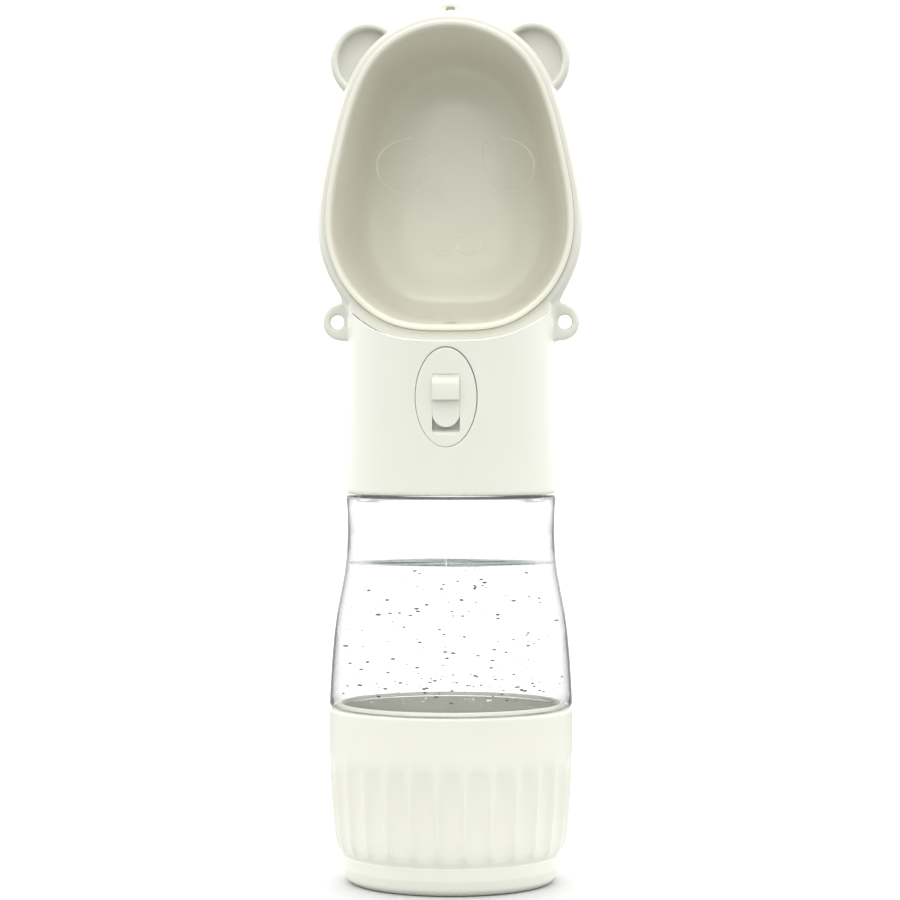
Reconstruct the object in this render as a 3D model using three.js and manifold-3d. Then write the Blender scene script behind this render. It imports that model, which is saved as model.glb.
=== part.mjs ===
// Dog travel water bottle: a clear water bottle between a food cup that screws
// on underneath and a cream head that screws on top.  The head carries a deep
// egg-shaped drinking bowl facing the front, two small ears, two strap lugs, a
// hanging tab and a push button with a sliding lock.  Pressing the button opens
// a spring-loaded valve that lets the water run up a short hose into the bowl
// when the bottle is tilted.
//
// Millimetres.  Origin at the centre of the flat underside of the food cup,
// +Z up, the bowl faces -Y.
import * as THREE from 'three';
import { mergeVertices } from 'three/addons/utils/BufferGeometryUtils.js';
import Module from 'manifold-3d';

const wasm = await Module();
wasm.setup();

// ---------------------------------------------------------------- dimensions
const GAP = 0.3;                 // clearance between neighbouring pieces
const SEG = 40;                  // facets of the round bodies
const LEAD = 4;                  // rise of both screw threads per turn

// food cup
const CUP_H = 50.1;              // height of the cup
const CUP_R = 35.2;              // outer radius of the smooth band
const CUP_FOOT_R = 31.3;         // outer radius of the smooth foot
const CUP_WALL_R = 32.6;         // inner radius beside the thread
const FLUTES = 28;               // flutes round the lower band
const FLUTE_Z0 = 8.6;            // lower end of the fluted band
const FLUTE_Z1 = 35.4;           // upper end of the fluted band
const FLUTE_FLOOR = [[9.4, 31.7], [13.0, 32.4], [26.0, 33.5], [33.8, 34.4]];   // height, radius between the ridges
const FLUTE_TURN = 0.046;        // one ridge stands a little left of the middle of the front
const CUP_FLOOR = 3.0;

// clear bottle
const SKIRT_R = 31.0;            // screw skirt that enters the cup
const SKIRT_RI = 29.4;
const SKIRT_Z = 41.6;
const BOTTLE_Z0 = 50.5;
const SHOULDER_Z = 111.6;
const NECK_R = 23.5;
const NECK_RI = 21.7;
const NECK_Z = 119.6;

// head
const HEAD_Z0 = 111.9;           // lower edge of the head
const HEAD_R = 30.0;
const HEAD_RI = 27.8;
const COLLAR_R = 27.3;
const COLLAR_RI = 25.0;
const DECK_Z0 = 121.0;
const DECK_Z1 = 123.0;

// valve: axis along Y
const VALVE_Z = 132.0;
const PRESS = 3.0;               // button travel
const LOCK_TRAVEL = 1.8;         // lock travel

// button and lock
const BTN_Z = 139.6;
const BTN_RX = 8.65;
const BTN_RZ = 14.05;

// bowl: it sits back from the front of the neck, whose top ends in a ledge
// that follows the bowl's outline
const RIM_Y = -9.0;              // front of the shell round the bowl
const LEDGE_D = 4.2;             // the ledge's distance outside the rim line
const LEDGE_T = 1.15;            // thickness of the ledge
const OUTLET_Y = -1.5;           // the hose and the outlet into the bowl

// bowl outline: half widths and heights of the middle of the rim, top to bottom
const RIM = [
[0, 246.81], [7.61, 245.84], [14.94, 242.63], [20.94, 237.84], [25.34, 231.24], [28.24, 223.97],
  [30.55, 216.15], [32.25, 208.47], [33.86, 200.43], [34.71, 192.68], [34.45, 184.6], [32.31, 177.26],
  [28.24, 170.31], [22.75, 165.01], [15.71, 161.22], [8.2, 159.81], [0, 159.63],
];
const EGG_N = 40;                // facets round the bowl

// ------------------------------------------------------------------- helpers
function signedVolume(geo) {
  const p = geo.attributes.position, ix = geo.index;
  const a = new THREE.Vector3(), b = new THREE.Vector3(), c = new THREE.Vector3();
  let v = 0;
  for (let i = 0; i < ix.count; i += 3) {
    a.fromBufferAttribute(p, ix.getX(i));
    b.fromBufferAttribute(p, ix.getX(i + 1));
    c.fromBufferAttribute(p, ix.getX(i + 2));
    v += a.dot(b.cross(c));
  }
  return v / 6;
}

// position-only, welded, facing out
function weld(geo) {
  let g = new THREE.BufferGeometry();
  g.setAttribute('position', geo.attributes.position.clone());
  if (geo.index) g.setIndex(geo.index.clone());
  g = mergeVertices(g, 1e-4);
  const old = g.index, keep = [];
  for (let i = 0; i < old.count; i += 3) {
    const a = old.getX(i), b = old.getX(i + 1), c = old.getX(i + 2);
    if (a !== b && b !== c && a !== c) keep.push(a, b, c);
  }
  g.setIndex(keep);
  if (signedVolume(g) < 0) {
    const arr = g.index.array;
    for (let i = 0; i < arr.length; i += 3) { const t = arr[i]; arr[i] = arr[i + 1]; arr[i + 1] = t; }
  }
  return g;
}

function solid(geo) {
  const g = weld(geo);
  return new wasm.Manifold(new wasm.Mesh({
    numProp: 3,
    vertProperties: new Float32Array(g.attributes.position.array),
    triVerts: new Uint32Array(g.index.array),
  }));
}

function geometry(m) {
  const mesh = m.getMesh();
  const g = new THREE.BufferGeometry();
  const n = mesh.numProp, count = mesh.vertProperties.length / n;
  const pos = new Float32Array(count * 3);
  for (let i = 0; i < count; i++) {
    for (let k = 0; k < 3; k++) pos[3 * i + k] = mesh.vertProperties[n * i + k];
  }
  g.setAttribute('position', new THREE.BufferAttribute(pos, 3));
  g.setIndex(new THREE.BufferAttribute(new Uint32Array(mesh.triVerts), 1));
  g.computeVertexNormals();
  return g;
}

const add = (...m) => m.reduce((a, b) => a.add(b));
const cut = (a, ...m) => m.reduce((x, y) => x.subtract(y), a);

// turned body about +Z from [radius, height] pairs
function turned(profile, segments = SEG) {
  const pts = profile.map(([r, z]) => new THREE.Vector2(r, z));
  const first = pts[0], last = pts[pts.length - 1];
  if (first.x > 1e-6 || last.x > 1e-6) pts.push(first.clone());
  const g = new THREE.LatheGeometry(pts, segments);
  g.rotateX(Math.PI / 2);
  return g;
}
const turnedSolid = (profile, segments) => solid(turned(profile, segments));

// ring of rectangular section about +Z
const ring = (ri, ro, z0, z1, segments = SEG) =>
  turned([[ri, z0], [ro, z0], [ro, z1], [ri, z1]], segments);

// body turned about the line parallel to Y through (x, z); pairs are [radius, y]
function turnedY(profile, x, z, segments = 20) {
  const pts = profile.map(([r, y]) => new THREE.Vector2(r, y));
  const first = pts[0], last = pts[pts.length - 1];
  if (first.x > 1e-6 || last.x > 1e-6) pts.push(first.clone());
  const g = new THREE.LatheGeometry(pts, segments);
  g.translate(x, 0, z);
  return g;
}
const cylY = (r, y0, y1, x, z, segments = 20) =>
  solid(turnedY([[0, y0], [r, y0], [r, y1], [0, y1]], x, z, segments));
function cylZ(r, z0, z1, x = 0, y = 0, segments = 20) {
  const g = turned([[0, z0], [r, z0], [r, z1], [0, z1]], segments);
  g.translate(x, y, 0);
  return solid(g);
}
function block(x0, x1, y0, y1, z0, z1) {
  const g = new THREE.BoxGeometry(x1 - x0, y1 - y0, z1 - z0);
  g.translate((x0 + x1) / 2, (y0 + y1) / 2, (z0 + z1) / 2);
  return solid(g);
}
// flat outline given in (x, z), swept along Y from y0 to y1
function plateY(shape, y0, y1, curveSegments = 12) {
  const g = new THREE.ExtrudeGeometry(shape, { depth: y1 - y0, bevelEnabled: false, curveSegments });
  g.rotateX(Math.PI / 2);          // (x, y, z) -> (x, -z, y)
  g.translate(0, y1, 0);
  return solid(g);
}
const plateYellipse = (x, z, rx, rz, y0, y1, n) => {
  const s = new THREE.Shape();
  s.absellipse(x, z, rx, rz, 0, Math.PI * 2, false, 0);
  return plateY(s, y0, y1, n);
};

// one screw ridge: a long box wound into a helix, faded out at both ends
function screwRidge({ rRoot, rTip, z0, turns, wRoot, wTip, perTurn = 24 }) {
  const n = Math.round(turns * perTurn);
  const g = new THREE.BoxGeometry(1, 1, 1, 1, 1, n);
  const p = g.attributes.position;
  for (let i = 0; i < p.count; i++) {
    const t = p.getZ(i) + 0.5;
    const tip = p.getX(i) > 0;
    const side = p.getY(i) > 0 ? 0.5 : -0.5;
    const fade = Math.min(1, Math.min(t, 1 - t) * n / 3);
    const r = tip ? rRoot + (rTip - rRoot) * (0.35 + 0.65 * fade) : rRoot;
    const a = t * turns * Math.PI * 2;
    const z = z0 + t * turns * LEAD + side * (tip ? wTip : wRoot);
    p.setXYZ(i, r * Math.cos(a), r * Math.sin(a), z);
  }
  return solid(g);
}

// ---------------------------------------------------------- bowl outline lofts
const half = RIM.map(([w, z]) => new THREE.Vector3(w, z, 0));
const mirrored = RIM.slice(1, -1).reverse().map(([w, z]) => new THREE.Vector3(-w, z, 0));
const eggCurve = new THREE.CatmullRomCurve3([...half, ...mirrored], true, 'centripetal');
eggCurve.arcLengthDivisions = 800;
const eggPts = eggCurve.getSpacedPoints(EGG_N).slice(0, EGG_N);
const eggNrm = eggPts.map((_, i) => {
  const t = eggCurve.getTangentAt(i / EGG_N);      // runs clockwise seen from the front
  return new THREE.Vector2(-t.y, t.x);
});

// body through rings [offset from the rim line, y]; both ends are closed flat
function eggLoft(rings) {
  const n = rings.length - 1;
  const g = new THREE.CylinderGeometry(1, 1, 1, EGG_N, n, false);
  const p = g.attributes.position;
  for (let i = 0; i < p.count; i++) {
    const x = p.getX(i), y = p.getY(i), z = p.getZ(i);
    const level = Math.round((y + 0.5) * n);
    const [d, yy] = rings[level];
    if (x * x + z * z < 0.25) {
      p.setXYZ(i, 0, yy, 197);
    } else {
      let k = Math.round(Math.atan2(x, z) / (2 * Math.PI) * EGG_N);
      k = ((k % EGG_N) + EGG_N) % EGG_N;
      p.setXYZ(i, eggPts[k].x + d * eggNrm[k].x, yy, eggPts[k].y + d * eggNrm[k].y);
    }
  }
  return solid(g);
}

// ------------------------------------------------------------------ the group
const group = new THREE.Group();
function piece(name, source, color, roughness, metalness = 0, extra = {}) {
  const g = source.getMesh ? geometry(source) : weld(source);
  if (!source.getMesh) g.computeVertexNormals();
  const material = new THREE.MeshStandardMaterial({ color, roughness, metalness, ...extra });
  const mesh = new THREE.Mesh(g, material);
  mesh.name = name;
  group.add(mesh);
  return mesh;
}
const CREAM = 0xf1f0e4, SHADE = 0xe6e4d6, CLEAR = 0xf4f8f8, SILICONE = 0xb9b9b4, STEEL = 0xc9ccd0;
const clear = { transparent: true, opacity: 0.28 };

// ------------------------------------------------------------------- food cup
{
  const SEGS = FLUTES * 3;
  const profile = [
    [0, 0], [29.6, 0], [31.0, 1.4], [CUP_FOOT_R, FLUTE_Z0 - 1.0], [33.3, FLUTE_Z0 + 0.8], [34.2, 13.0],
    [34.9, 26.0], [35.15, FLUTE_Z1 - 1.6], [CUP_R, FLUTE_Z1 + 0.6], [CUP_R, 49.6], [34.8, CUP_H],
    [CUP_WALL_R, CUP_H], [CUP_WALL_R, 40.2], [31.3, 38.6], [28.8, CUP_FLOOR + 1.2], [27.6, CUP_FLOOR],
    [0, CUP_FLOOR],
  ];
  const g = turned(profile, SEGS);
  const p = g.attributes.position;
  for (let i = 0; i < p.count; i++) {
    const x = p.getX(i), y = p.getY(i), z = p.getZ(i);
    const r = Math.hypot(x, y);
    if (r > 32.9 && z > FLUTE_Z0 && z < FLUTE_Z1 - 0.5) {
      let k = Math.round((Math.atan2(y, x) + Math.PI / 2) / (2 * Math.PI) * SEGS);
      k = ((k % SEGS) + SEGS) % SEGS;
      const row = FLUTE_FLOOR.find(([h]) => Math.abs(h - z) < 0.3);
      if (k % 3 !== 2 && row) p.setXYZ(i, x * row[1] / r, y * row[1] / r, z);
    }
  }
  g.rotateZ(FLUTE_TURN - Math.PI / FLUTES / 3);
  const thread = screwRidge({ rRoot: CUP_WALL_R + 0.6, rTip: 31.6, z0: 42.6, turns: 1.15, wRoot: 2.0, wTip: 1.0 });
  piece('food_cup', add(solid(g), thread), CREAM, 0.42);
}

// ----------------------------------------------------------------- cup gasket
piece('cup_gasket', ring(31.7, 33.1, 50.4, 51.6, 30), SILICONE, 0.7);

// --------------------------------------------------------------- clear bottle
{
  const body = turnedSolid([
    [0, 52.4], [SKIRT_RI, 52.4], [SKIRT_RI, SKIRT_Z], [SKIRT_R, SKIRT_Z], [SKIRT_R, BOTTLE_Z0],
    [31.35, BOTTLE_Z0], [31.35, 51.9], [33.45, 51.9], [33.45, BOTTLE_Z0], [34.6, BOTTLE_Z0],
    [35.2, 51.2], [35.0, 56.0], [34.5, 64.0], [33.8, 72.0], [32.9, 78.5], [31.8, 84.2], [30.8, 89.6],
    [30.2, 95.0], [30.0, 101.0], [30.1, 107.8], [30.4, 110.6], [30.4, SHOULDER_Z], [26.95, SHOULDER_Z],
    [26.95, 109.9], [23.9, 109.9], [23.9, SHOULDER_Z], [NECK_R, SHOULDER_Z], [NECK_R, NECK_Z],
    [NECK_RI, NECK_Z], [NECK_RI, 108.7], [27.0, 108.2], [28.5, 106.8], [28.5, 101.0], [28.7, 95.0],
    [29.3, 89.6], [30.3, 84.2], [31.4, 78.5], [32.3, 72.0], [33.0, 64.0], [33.4, 57.2], [31.8, 54.5], [0, 54.5],
  ]);
  const low = screwRidge({ rRoot: SKIRT_R - 0.6, rTip: 32.0, z0: 42.6 + LEAD / 2, turns: 1.15, wRoot: 2.0, wTip: 1.0 });
  const high = screwRidge({ rRoot: NECK_R - 0.6, rTip: 24.5, z0: 113.4, turns: 1.1, wRoot: 2.0, wTip: 1.0 });
  piece('water_bottle', add(body, low, high), CLEAR, 0.06, 0, clear);
}

// ---------------------------------------------------------------- neck gasket
piece('neck_gasket', ring(24.9, 26.6, 110.25, 111.55, 30), SILICONE, 0.7);

// ---------------------------------------------------------------- inner collar
{
  const body = turnedSolid([
    [3.2, DECK_Z0], [COLLAR_RI, DECK_Z0], [COLLAR_RI, HEAD_Z0], [COLLAR_R, HEAD_Z0], [COLLAR_R, DECK_Z1], [3.2, DECK_Z1],
  ]);
  const thread = screwRidge({ rRoot: COLLAR_RI + 0.6, rTip: 24.0, z0: 113.4 + LEAD / 2, turns: 0.95, wRoot: 2.0, wTip: 1.0 });
  const port = cylZ(2.6, DECK_Z0 - 1, DECK_Z1 + 1, 0, 10, 16);
  const centre = cylZ(3.6, DECK_Z0, DECK_Z1, 0, 0, 24);
  piece('inner_collar', cut(add(body, thread, centre), port), SHADE, 0.5);
}
piece('deck_seal', ring(21.9, 23.65, 119.9, 120.7, 30), SILICONE, 0.7);

// ----------------------------------------------------------------- head shell
{
  const outer = eggLoft([
    [1.6, RIM_Y], [2.5, -8.5], [3.1, -7.0], [3.3, -3.5], [3.3, 6], [2.6, 14], [0.6, 21.5], [-2.6, 27.2], [-7.6, 31.8], [-14.5, 34.9],
  ]);
  const inner = eggLoft([
    [0.95, RIM_Y - 1], [0.95, -5.5], [0.9, 4], [0.2, 12.5], [-1.4, 20.2], [-3.9, 26.2], [-8.2, 30.5], [-14.5, 32.6],
  ]);
  // the neck's front wall ends under the bowl's outline, and a ledge closes it
  const scoop = eggLoft([[LEDGE_D, -40], [LEDGE_D, RIM_Y]]);
  const guard = eggLoft([[LEDGE_D + LEDGE_T, -40], [LEDGE_D + LEDGE_T, RIM_Y + 2.1]]);
  const neckOut = cut(cylZ(HEAD_R, HEAD_Z0, 182, 0, 0, SEG), scoop);
  const neckIn = cut(cylZ(HEAD_RI, HEAD_Z0 - 1, 181, 0, 0, SEG), guard);

  // ears: rimmed discs beside the bowl rim
  const ears = [-1, 1].map((s) => cut(
    plateYellipse(s * 23.6, 236.8, 11.0, 11.4, -7.5, 1.5, 14),
    plateYellipse(s * 23.6, 236.8, 8.6, 9.0, -9, -5, 12),
  ));
  // strap lugs
  const lugs = [-1, 1].map((s) => cut(
    cylY(5.5, -1.6, 1.6, s * 31.8, 161.7, 24),
    cylY(2.0, -3, 3, s * 33.0, 161.7, 16),
  ));
  // hanging tab on the crown
  const saddle = new THREE.Shape();
  saddle.moveTo(-12.8, 246.0); saddle.lineTo(12.8, 246.0); saddle.lineTo(11.0, 250.6);
  saddle.lineTo(5.0, 250.9); saddle.absarc(0, 249.5, 5.0, Math.asin(0.28), Math.PI - Math.asin(0.28), false);
  saddle.lineTo(-5.0, 250.9); saddle.lineTo(-11.0, 250.6); saddle.closePath();
  const tab = cut(plateY(saddle, -4, 2, 7), block(-1.0, 1.0, -5, 3, 251.5, 252.3));

  const all = add(outer, neckOut, ...ears, ...lugs, tab);
  const bosses = [-1, 1].map((s) => cylY(2.5, -24.2, -20.3, s * 16.5, BTN_Z, 14));
  const pilots = [-1, 1].map((s) => cylY(1.4, -22.7, -19, s * 16.5, BTN_Z, 10));
  const opening = plateYellipse(0, BTN_Z, BTN_RX + GAP, BTN_RZ + GAP, -33, -20, 16);
  piece('head_shell', cut(add(cut(all, inner, neckIn), ...bosses), ...pilots, opening), CREAM, 0.38);
}

// ----------------------------------------------------------------- bowl liner
{
  const dish = eggLoft([
    [-15.5, 30.2], [-10.8, 28.9], [-7.6, 25.4], [-5.6, 20.2], [-3.5, 7.5], [-1.4, -9.4],
    [-0.8, -10.5], [0.25, -10.5], [0.65, -9.7], [0.65, -6.0], [-1.9, 7.8], [-4.0, 20.8],
    [-6.2, 26.6], [-10.1, 30.4], [-15.0, 31.8],
  ]);
  const hole = cylZ(1.8, 156, 166, 0, OUTLET_Y, 14);
  piece('bowl_liner', cut(dish, hole), SHADE, 0.3);
}

// ------------------------------------------------- valve between deck and bowl
{
  const tube = cylY(7.5, -15, 18, 0, VALVE_Z, 20);
  const foot = block(-11.6, 11.6, -9.4, 15.4, 124.3, 126.4);
  const stub = cylZ(2.2, VALVE_Z, 147, 0, OUTLET_Y, 16);
  const shoulder = cylZ(4.2, VALVE_Z, 140.4, 0, OUTLET_Y, 16);
  const body = add(tube, foot, stub, shoulder);
  const cuts = [
    cylY(4.6, -11.5, 2, 0, VALVE_Z, 16),        // front chamber
    cylY(3.2, 0, 6, 0, VALVE_Z, 14),            // seat
    cylY(5.6, 4, 19, 0, VALVE_Z, 16),           // rear chamber
    cylY(2.4, -16, -10, 0, VALVE_Z, 12),        // stem bore
    cylY(3.9, -16, -13.2, 0, VALVE_Z, 14),      // ring recess
    cylZ(1.4, VALVE_Z, 148, 0, OUTLET_Y, 12),   // outlet
    cylZ(2.6, 123, VALVE_Z, 0, 10, 14),         // inlet
    ...[[-9.2, -7], [9.2, -7], [-9.2, 13], [9.2, 13]].map(([x, y]) => cylZ(1.3, 123, 128, x, y, 8)),
  ];
  piece('valve_body', cut(body, ...cuts), SHADE, 0.5);

  const pad = block(-11.6, 11.6, -9.4, 15.4, 123.3, 124.0);
  piece('valve_gasket', cut(pad, cylZ(2.8, 123, 125, 0, 10, 14),
    ...[[-9.2, -7], [9.2, -7], [-9.2, 13], [9.2, 13]].map(([x, y]) => cylZ(1.3, 123, 125, x, y, 8))), SILICONE, 0.7);
  [[-9.2, -7], [9.2, -7], [-9.2, 13], [9.2, 13]].forEach(([x, y], i) => {
    const m = add(cylZ(0.95, 123.4, 126.8, x, y, 8), cylZ(1.9, 126.7, 128.2, x, y, 8));
    piece(`valve_screw_${i + 1}`, cut(m, block(x - 2.5, x + 2.5, y - 0.3, y + 0.3, 127.6, 129)), STEEL, 0.3, 1);
  });

  piece('valve_stem', turnedY([
    [0, -25.5], [2.6, -25.5], [2.6, -24.3], [2.0, -23.9], [2.0, 5.1], [4.4, 5.1], [4.4, 6.9], [2.0, 6.9], [2.0, 10.2], [0, 10.2],
  ], 0, VALVE_Z, 16), SHADE, 0.45);
  piece('poppet_seal', turnedY([[2.3, 4.2], [4.4, 4.2], [4.4, 4.85], [2.3, 4.85]], 0, VALVE_Z, 20), SILICONE, 0.7);
  piece('stem_ring', turnedY([[2.3, -14.7], [3.6, -14.7], [3.6, -13.5], [2.3, -13.5]], 0, VALVE_Z, 18), SILICONE, 0.7);

  class Coil extends THREE.Curve {
    getPoint(t, target = new THREE.Vector3()) {
      const a = t * 3.75 * Math.PI * 2;
      return target.set(3.5 * Math.cos(a), 7.7 + t * 6.9, VALVE_Z + 3.5 * Math.sin(a));
    }
  }
  const wire = new THREE.Shape();
  wire.absarc(0, 0, 0.38, 0, Math.PI * 2, false);
  piece('return_spring', new THREE.ExtrudeGeometry(wire, {
    steps: 38, extrudePath: new Coil(), curveSegments: 3, bevelEnabled: false,
  }), STEEL, 0.3, 1);

  piece('valve_cap', turnedY([
    [0, 15.5], [5.2, 15.5], [5.2, 18.4], [7.5, 18.4], [7.5, 20.6], [0, 20.6],
  ], 0, VALVE_Z, 24), SHADE, 0.5);
}

// -------------------------------------------------------- hose up to the bowl
piece('outlet_hose', (() => {
  const g = ring(2.5, 3.6, 140.8, 156.2, 20);
  g.translate(0, OUTLET_Y, 0);
  return g;
})(), SILICONE, 0.6);
piece('outlet_nozzle', (() => {
  const g = turned([[1.3, 151.5], [2.2, 151.5], [2.2, 156.8], [4.4, 157.4], [4.4, 159.0], [1.3, 159.0]], 16);
  g.translate(0, OUTLET_Y, 0);
  return g;
})(), SHADE, 0.5);

// --------------------------------------------------------- push button parts
{
  const tubeOuter = (ro, ri) => cut(cylZ(ro, 120, 160, 0, 0, 64), cylZ(ri, 119, 161, 0, 0, 64));
  const front = block(-20, 20, -35, -10, 118, 153.9);
  const plate = plateYellipse(0, BTN_Z, BTN_RX, BTN_RZ, -33, -20, 16).intersect(tubeOuter(30.0, 25.8)).intersect(front);
  const flange = plateYellipse(0, BTN_Z, 10.3, 15.1, -33, -20, 16).intersect(tubeOuter(27.3, 25.8)).intersect(front);
  // pocket for the lock: straight sides, round lower end
  const slot = new THREE.Shape();
  slot.moveTo(3.9, 145.9); slot.lineTo(-3.9, 145.9); slot.lineTo(-3.9, 134.7 - LOCK_TRAVEL);
  slot.absarc(0, 134.7 - LOCK_TRAVEL, 3.9, Math.PI, Math.PI * 2, false); slot.closePath();
  const pocket = plateY(slot, -34, -28.4, 8);
  const through = block(-1.8, 1.8, -34, -20, 137.8, 144.0);
  piece('push_button', cut(add(plate, flange), pocket, through), CREAM, 0.36);

  const tongue = new THREE.Shape();
  tongue.moveTo(3.6, 145.6); tongue.lineTo(-3.6, 145.6); tongue.lineTo(-3.6, 134.7);
  tongue.absarc(0, 134.7, 3.6, Math.PI, Math.PI * 2, false); tongue.closePath();
  const grip = block(-3.6, 3.6, -31.5, -28.75, 138.7, 144.8);
  const post = block(-1.45, 1.45, -29, -24.2, 140.0, 143.6);
  piece('lock_slider', add(plateY(tongue, -29.75, -28.75, 8), grip, post), CREAM, 0.36);

  const clip = cut(block(-3.6, 3.6, -25.4, -24.4, 138.4, 145.2), block(-1.75, 1.75, -27, -23, 139.7, 143.9));
  piece('lock_clip', clip, SHADE, 0.5);

  // bridge that keeps the button in the head
  const bridge = cut(
    add(block(-13.4, 13.4, -23.4, -18.4, 125.6, 153.4), block(-18.6, 18.6, -19.9, -18.4, 136.4, 142.8)),
    block(-11, 11, -24, -19.9, 120, 160),
    block(-6, 6, -21, -17, 129.2, 149.0),
    cylY(1.4, -21, -17, -16.5, BTN_Z, 12), cylY(1.4, -21, -17, 16.5, BTN_Z, 12),
  );
  piece('button_bridge', bridge, SHADE, 0.5);
  [-1, 1].forEach((s, i) => {
    const m = add(cylY(1.05, -22.3, -18.0, s * 16.5, BTN_Z, 8), cylY(2.1, -18.1, -16.6, s * 16.5, BTN_Z, 8));
    piece(`bridge_screw_${i + 1}`, cut(m, block(s * 16.5 - 2.6, s * 16.5 + 2.6, -17.2, -16, BTN_Z - 0.3, BTN_Z + 0.3)), STEEL, 0.3, 1);
  });
}

export default group;
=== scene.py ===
import math

import bmesh
import bpy
import numpy as np
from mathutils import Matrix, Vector


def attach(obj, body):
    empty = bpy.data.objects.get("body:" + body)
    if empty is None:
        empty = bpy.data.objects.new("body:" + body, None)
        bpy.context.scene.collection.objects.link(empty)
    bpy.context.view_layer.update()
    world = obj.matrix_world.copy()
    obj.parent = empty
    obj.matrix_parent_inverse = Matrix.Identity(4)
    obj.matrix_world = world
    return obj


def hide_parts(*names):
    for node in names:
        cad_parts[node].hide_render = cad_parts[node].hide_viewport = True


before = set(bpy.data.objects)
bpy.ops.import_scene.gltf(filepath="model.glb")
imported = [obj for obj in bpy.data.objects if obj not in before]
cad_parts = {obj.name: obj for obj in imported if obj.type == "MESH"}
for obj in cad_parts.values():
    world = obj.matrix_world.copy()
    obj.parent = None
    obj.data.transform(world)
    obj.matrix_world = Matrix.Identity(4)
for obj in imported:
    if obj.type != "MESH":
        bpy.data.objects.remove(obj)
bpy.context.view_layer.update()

# Dog travel water bottle.  Every length below is in millimetres and becomes metres
# when a mesh is made.  Origin at the centre of the food cup's underside, +Z up,
# the drinking bowl and the button face -Y.

MM = 0.001
FRONT = -math.pi / 2


# ------------------------------------------------------------------ mesh helpers
def make(name, verts, faces, body, material, nodes=(), slot=None, smooth_angle=35):
    me = bpy.data.meshes.new(name)
    me.from_pydata((np.asarray(verts, float) * MM).tolist(), [], [list(map(int, f)) for f in faces])
    me.validate()
    me.update()
    me.polygons.foreach_set("use_smooth", [True] * len(me.polygons))
    if smooth_angle:
        me.set_sharp_from_angle(angle=math.radians(smooth_angle))
    me.materials.append(material)
    o = bpy.data.objects.new(name, me)
    bpy.context.scene.collection.objects.link(o)
    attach(o, body)
    if nodes:
        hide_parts(*nodes)
    return o


def join_parts(parts):
    """Several (verts, faces) as one."""
    vs, fs, n = [], [], 0
    for v, f in parts:
        v = np.asarray(v, float).reshape(-1, 3)
        vs.append(v)
        fs += [[i + n for i in q] for q in f]
        n += len(v)
    return np.vstack(vs), fs


def rounded(points, n=5):
    """Polyline through (a, b[, radius]) with the given corners rounded."""
    P = [np.array(p[:2], float) for p in points]
    R = [p[2] if len(p) > 2 else 0 for p in points]
    out = []
    for i, p in enumerate(P):
        if R[i] <= 0 or i == 0 or i == len(P) - 1:
            out.append(p)
            continue
        a, b = P[i - 1] - p, P[i + 1] - p
        la, lb = np.linalg.norm(a), np.linalg.norm(b)
        ua, ub = a / la, b / lb
        c = np.clip(ua @ ub, -1, 1)
        half = math.acos(c) / 2
        if half > math.pi / 2 - 0.02:
            out.append(p)
            continue
        t = min(R[i] / math.tan(half), 0.48 * la, 0.48 * lb)
        r = t * math.tan(half)
        p0, p1 = p + ua * t, p + ub * t
        mid = (ua + ub) / np.linalg.norm(ua + ub)
        centre = p + mid * (r / math.sin(half))
        a0 = math.atan2(*(p0 - centre)[::-1])
        a1 = math.atan2(*(p1 - centre)[::-1])
        d = (a1 - a0 + math.pi) % (2 * math.pi) - math.pi
        for k in range(n + 1):
            a = a0 + d * k / n
            out.append(centre + r * np.array([math.cos(a), math.sin(a)]))
    return np.array(out)


def dense(points, step):
    """The same polyline with no piece longer than step."""
    pts = [np.asarray(points[0], float)]
    for p, q in zip(points[:-1], points[1:]):
        p, q = np.asarray(p, float), np.asarray(q, float)
        k = max(1, int(math.ceil(np.linalg.norm(q - p) / step)))
        pts += [p + (q - p) * (i + 1) / k for i in range(k)]
    return np.array(pts)


def lathe(profile, seg=160, move=None, axis="z", centre=(0, 0), closed=False):
    """Turned surface from (radius, height) pairs.  move(theta, r, h) -> r shifts radii.
    Points on the axis become poles."""
    prof = np.asarray(profile, float)
    if closed:
        prof = np.vstack([prof, prof[:1]])
    th = FRONT + np.arange(seg) / seg * 2 * math.pi
    verts, rows = [], []
    for r, h in prof:
        if r < 1e-6:
            rows.append([len(verts)])
            verts.append((0, 0, h))
            continue
        rr = np.full(seg, r) if move is None else move(th, r, h)
        rows.append(list(range(len(verts), len(verts) + seg)))
        verts += list(zip(rr * np.cos(th), rr * np.sin(th), np.full(seg, h)))
    if closed:
        rows[-1] = rows[0]
        verts = verts[: -seg]
    faces = []
    for a, b in zip(rows[:-1], rows[1:]):
        if len(a) == 1 and len(b) == 1:
            continue
        for i in range(seg):
            j = (i + 1) % seg
            if len(a) == 1:
                faces.append((a[0], b[j], b[i]))
            elif len(b) == 1:
                faces.append((a[i], a[j], b[0]))
            else:
                faces.append((a[i], a[j], b[j], b[i]))
    v = np.array(verts, float)
    if axis == "y":                      # (x, y, h) -> (x, h, -y)
        v = np.stack([v[:, 0] + centre[0], v[:, 2], -v[:, 1] + centre[1]], 1)
    else:
        v = v + np.array([centre[0], centre[1], 0])
    return v, faces


def outward(v, f):
    """Turns a closed mesh's faces outward by its signed volume."""
    v = np.asarray(v)
    vol = 0.0
    for q in f:
        a = v[q[0]]
        for k in range(1, len(q) - 1):
            vol += float(np.dot(a, np.cross(v[q[k]], v[q[k + 1]])))
    return (v, f) if vol > 0 else (v, [tuple(reversed(q)) for q in f])


def smooth01(t):
    t = np.clip(t, 0, 1)
    return t * t * (3 - 2 * t)


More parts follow.
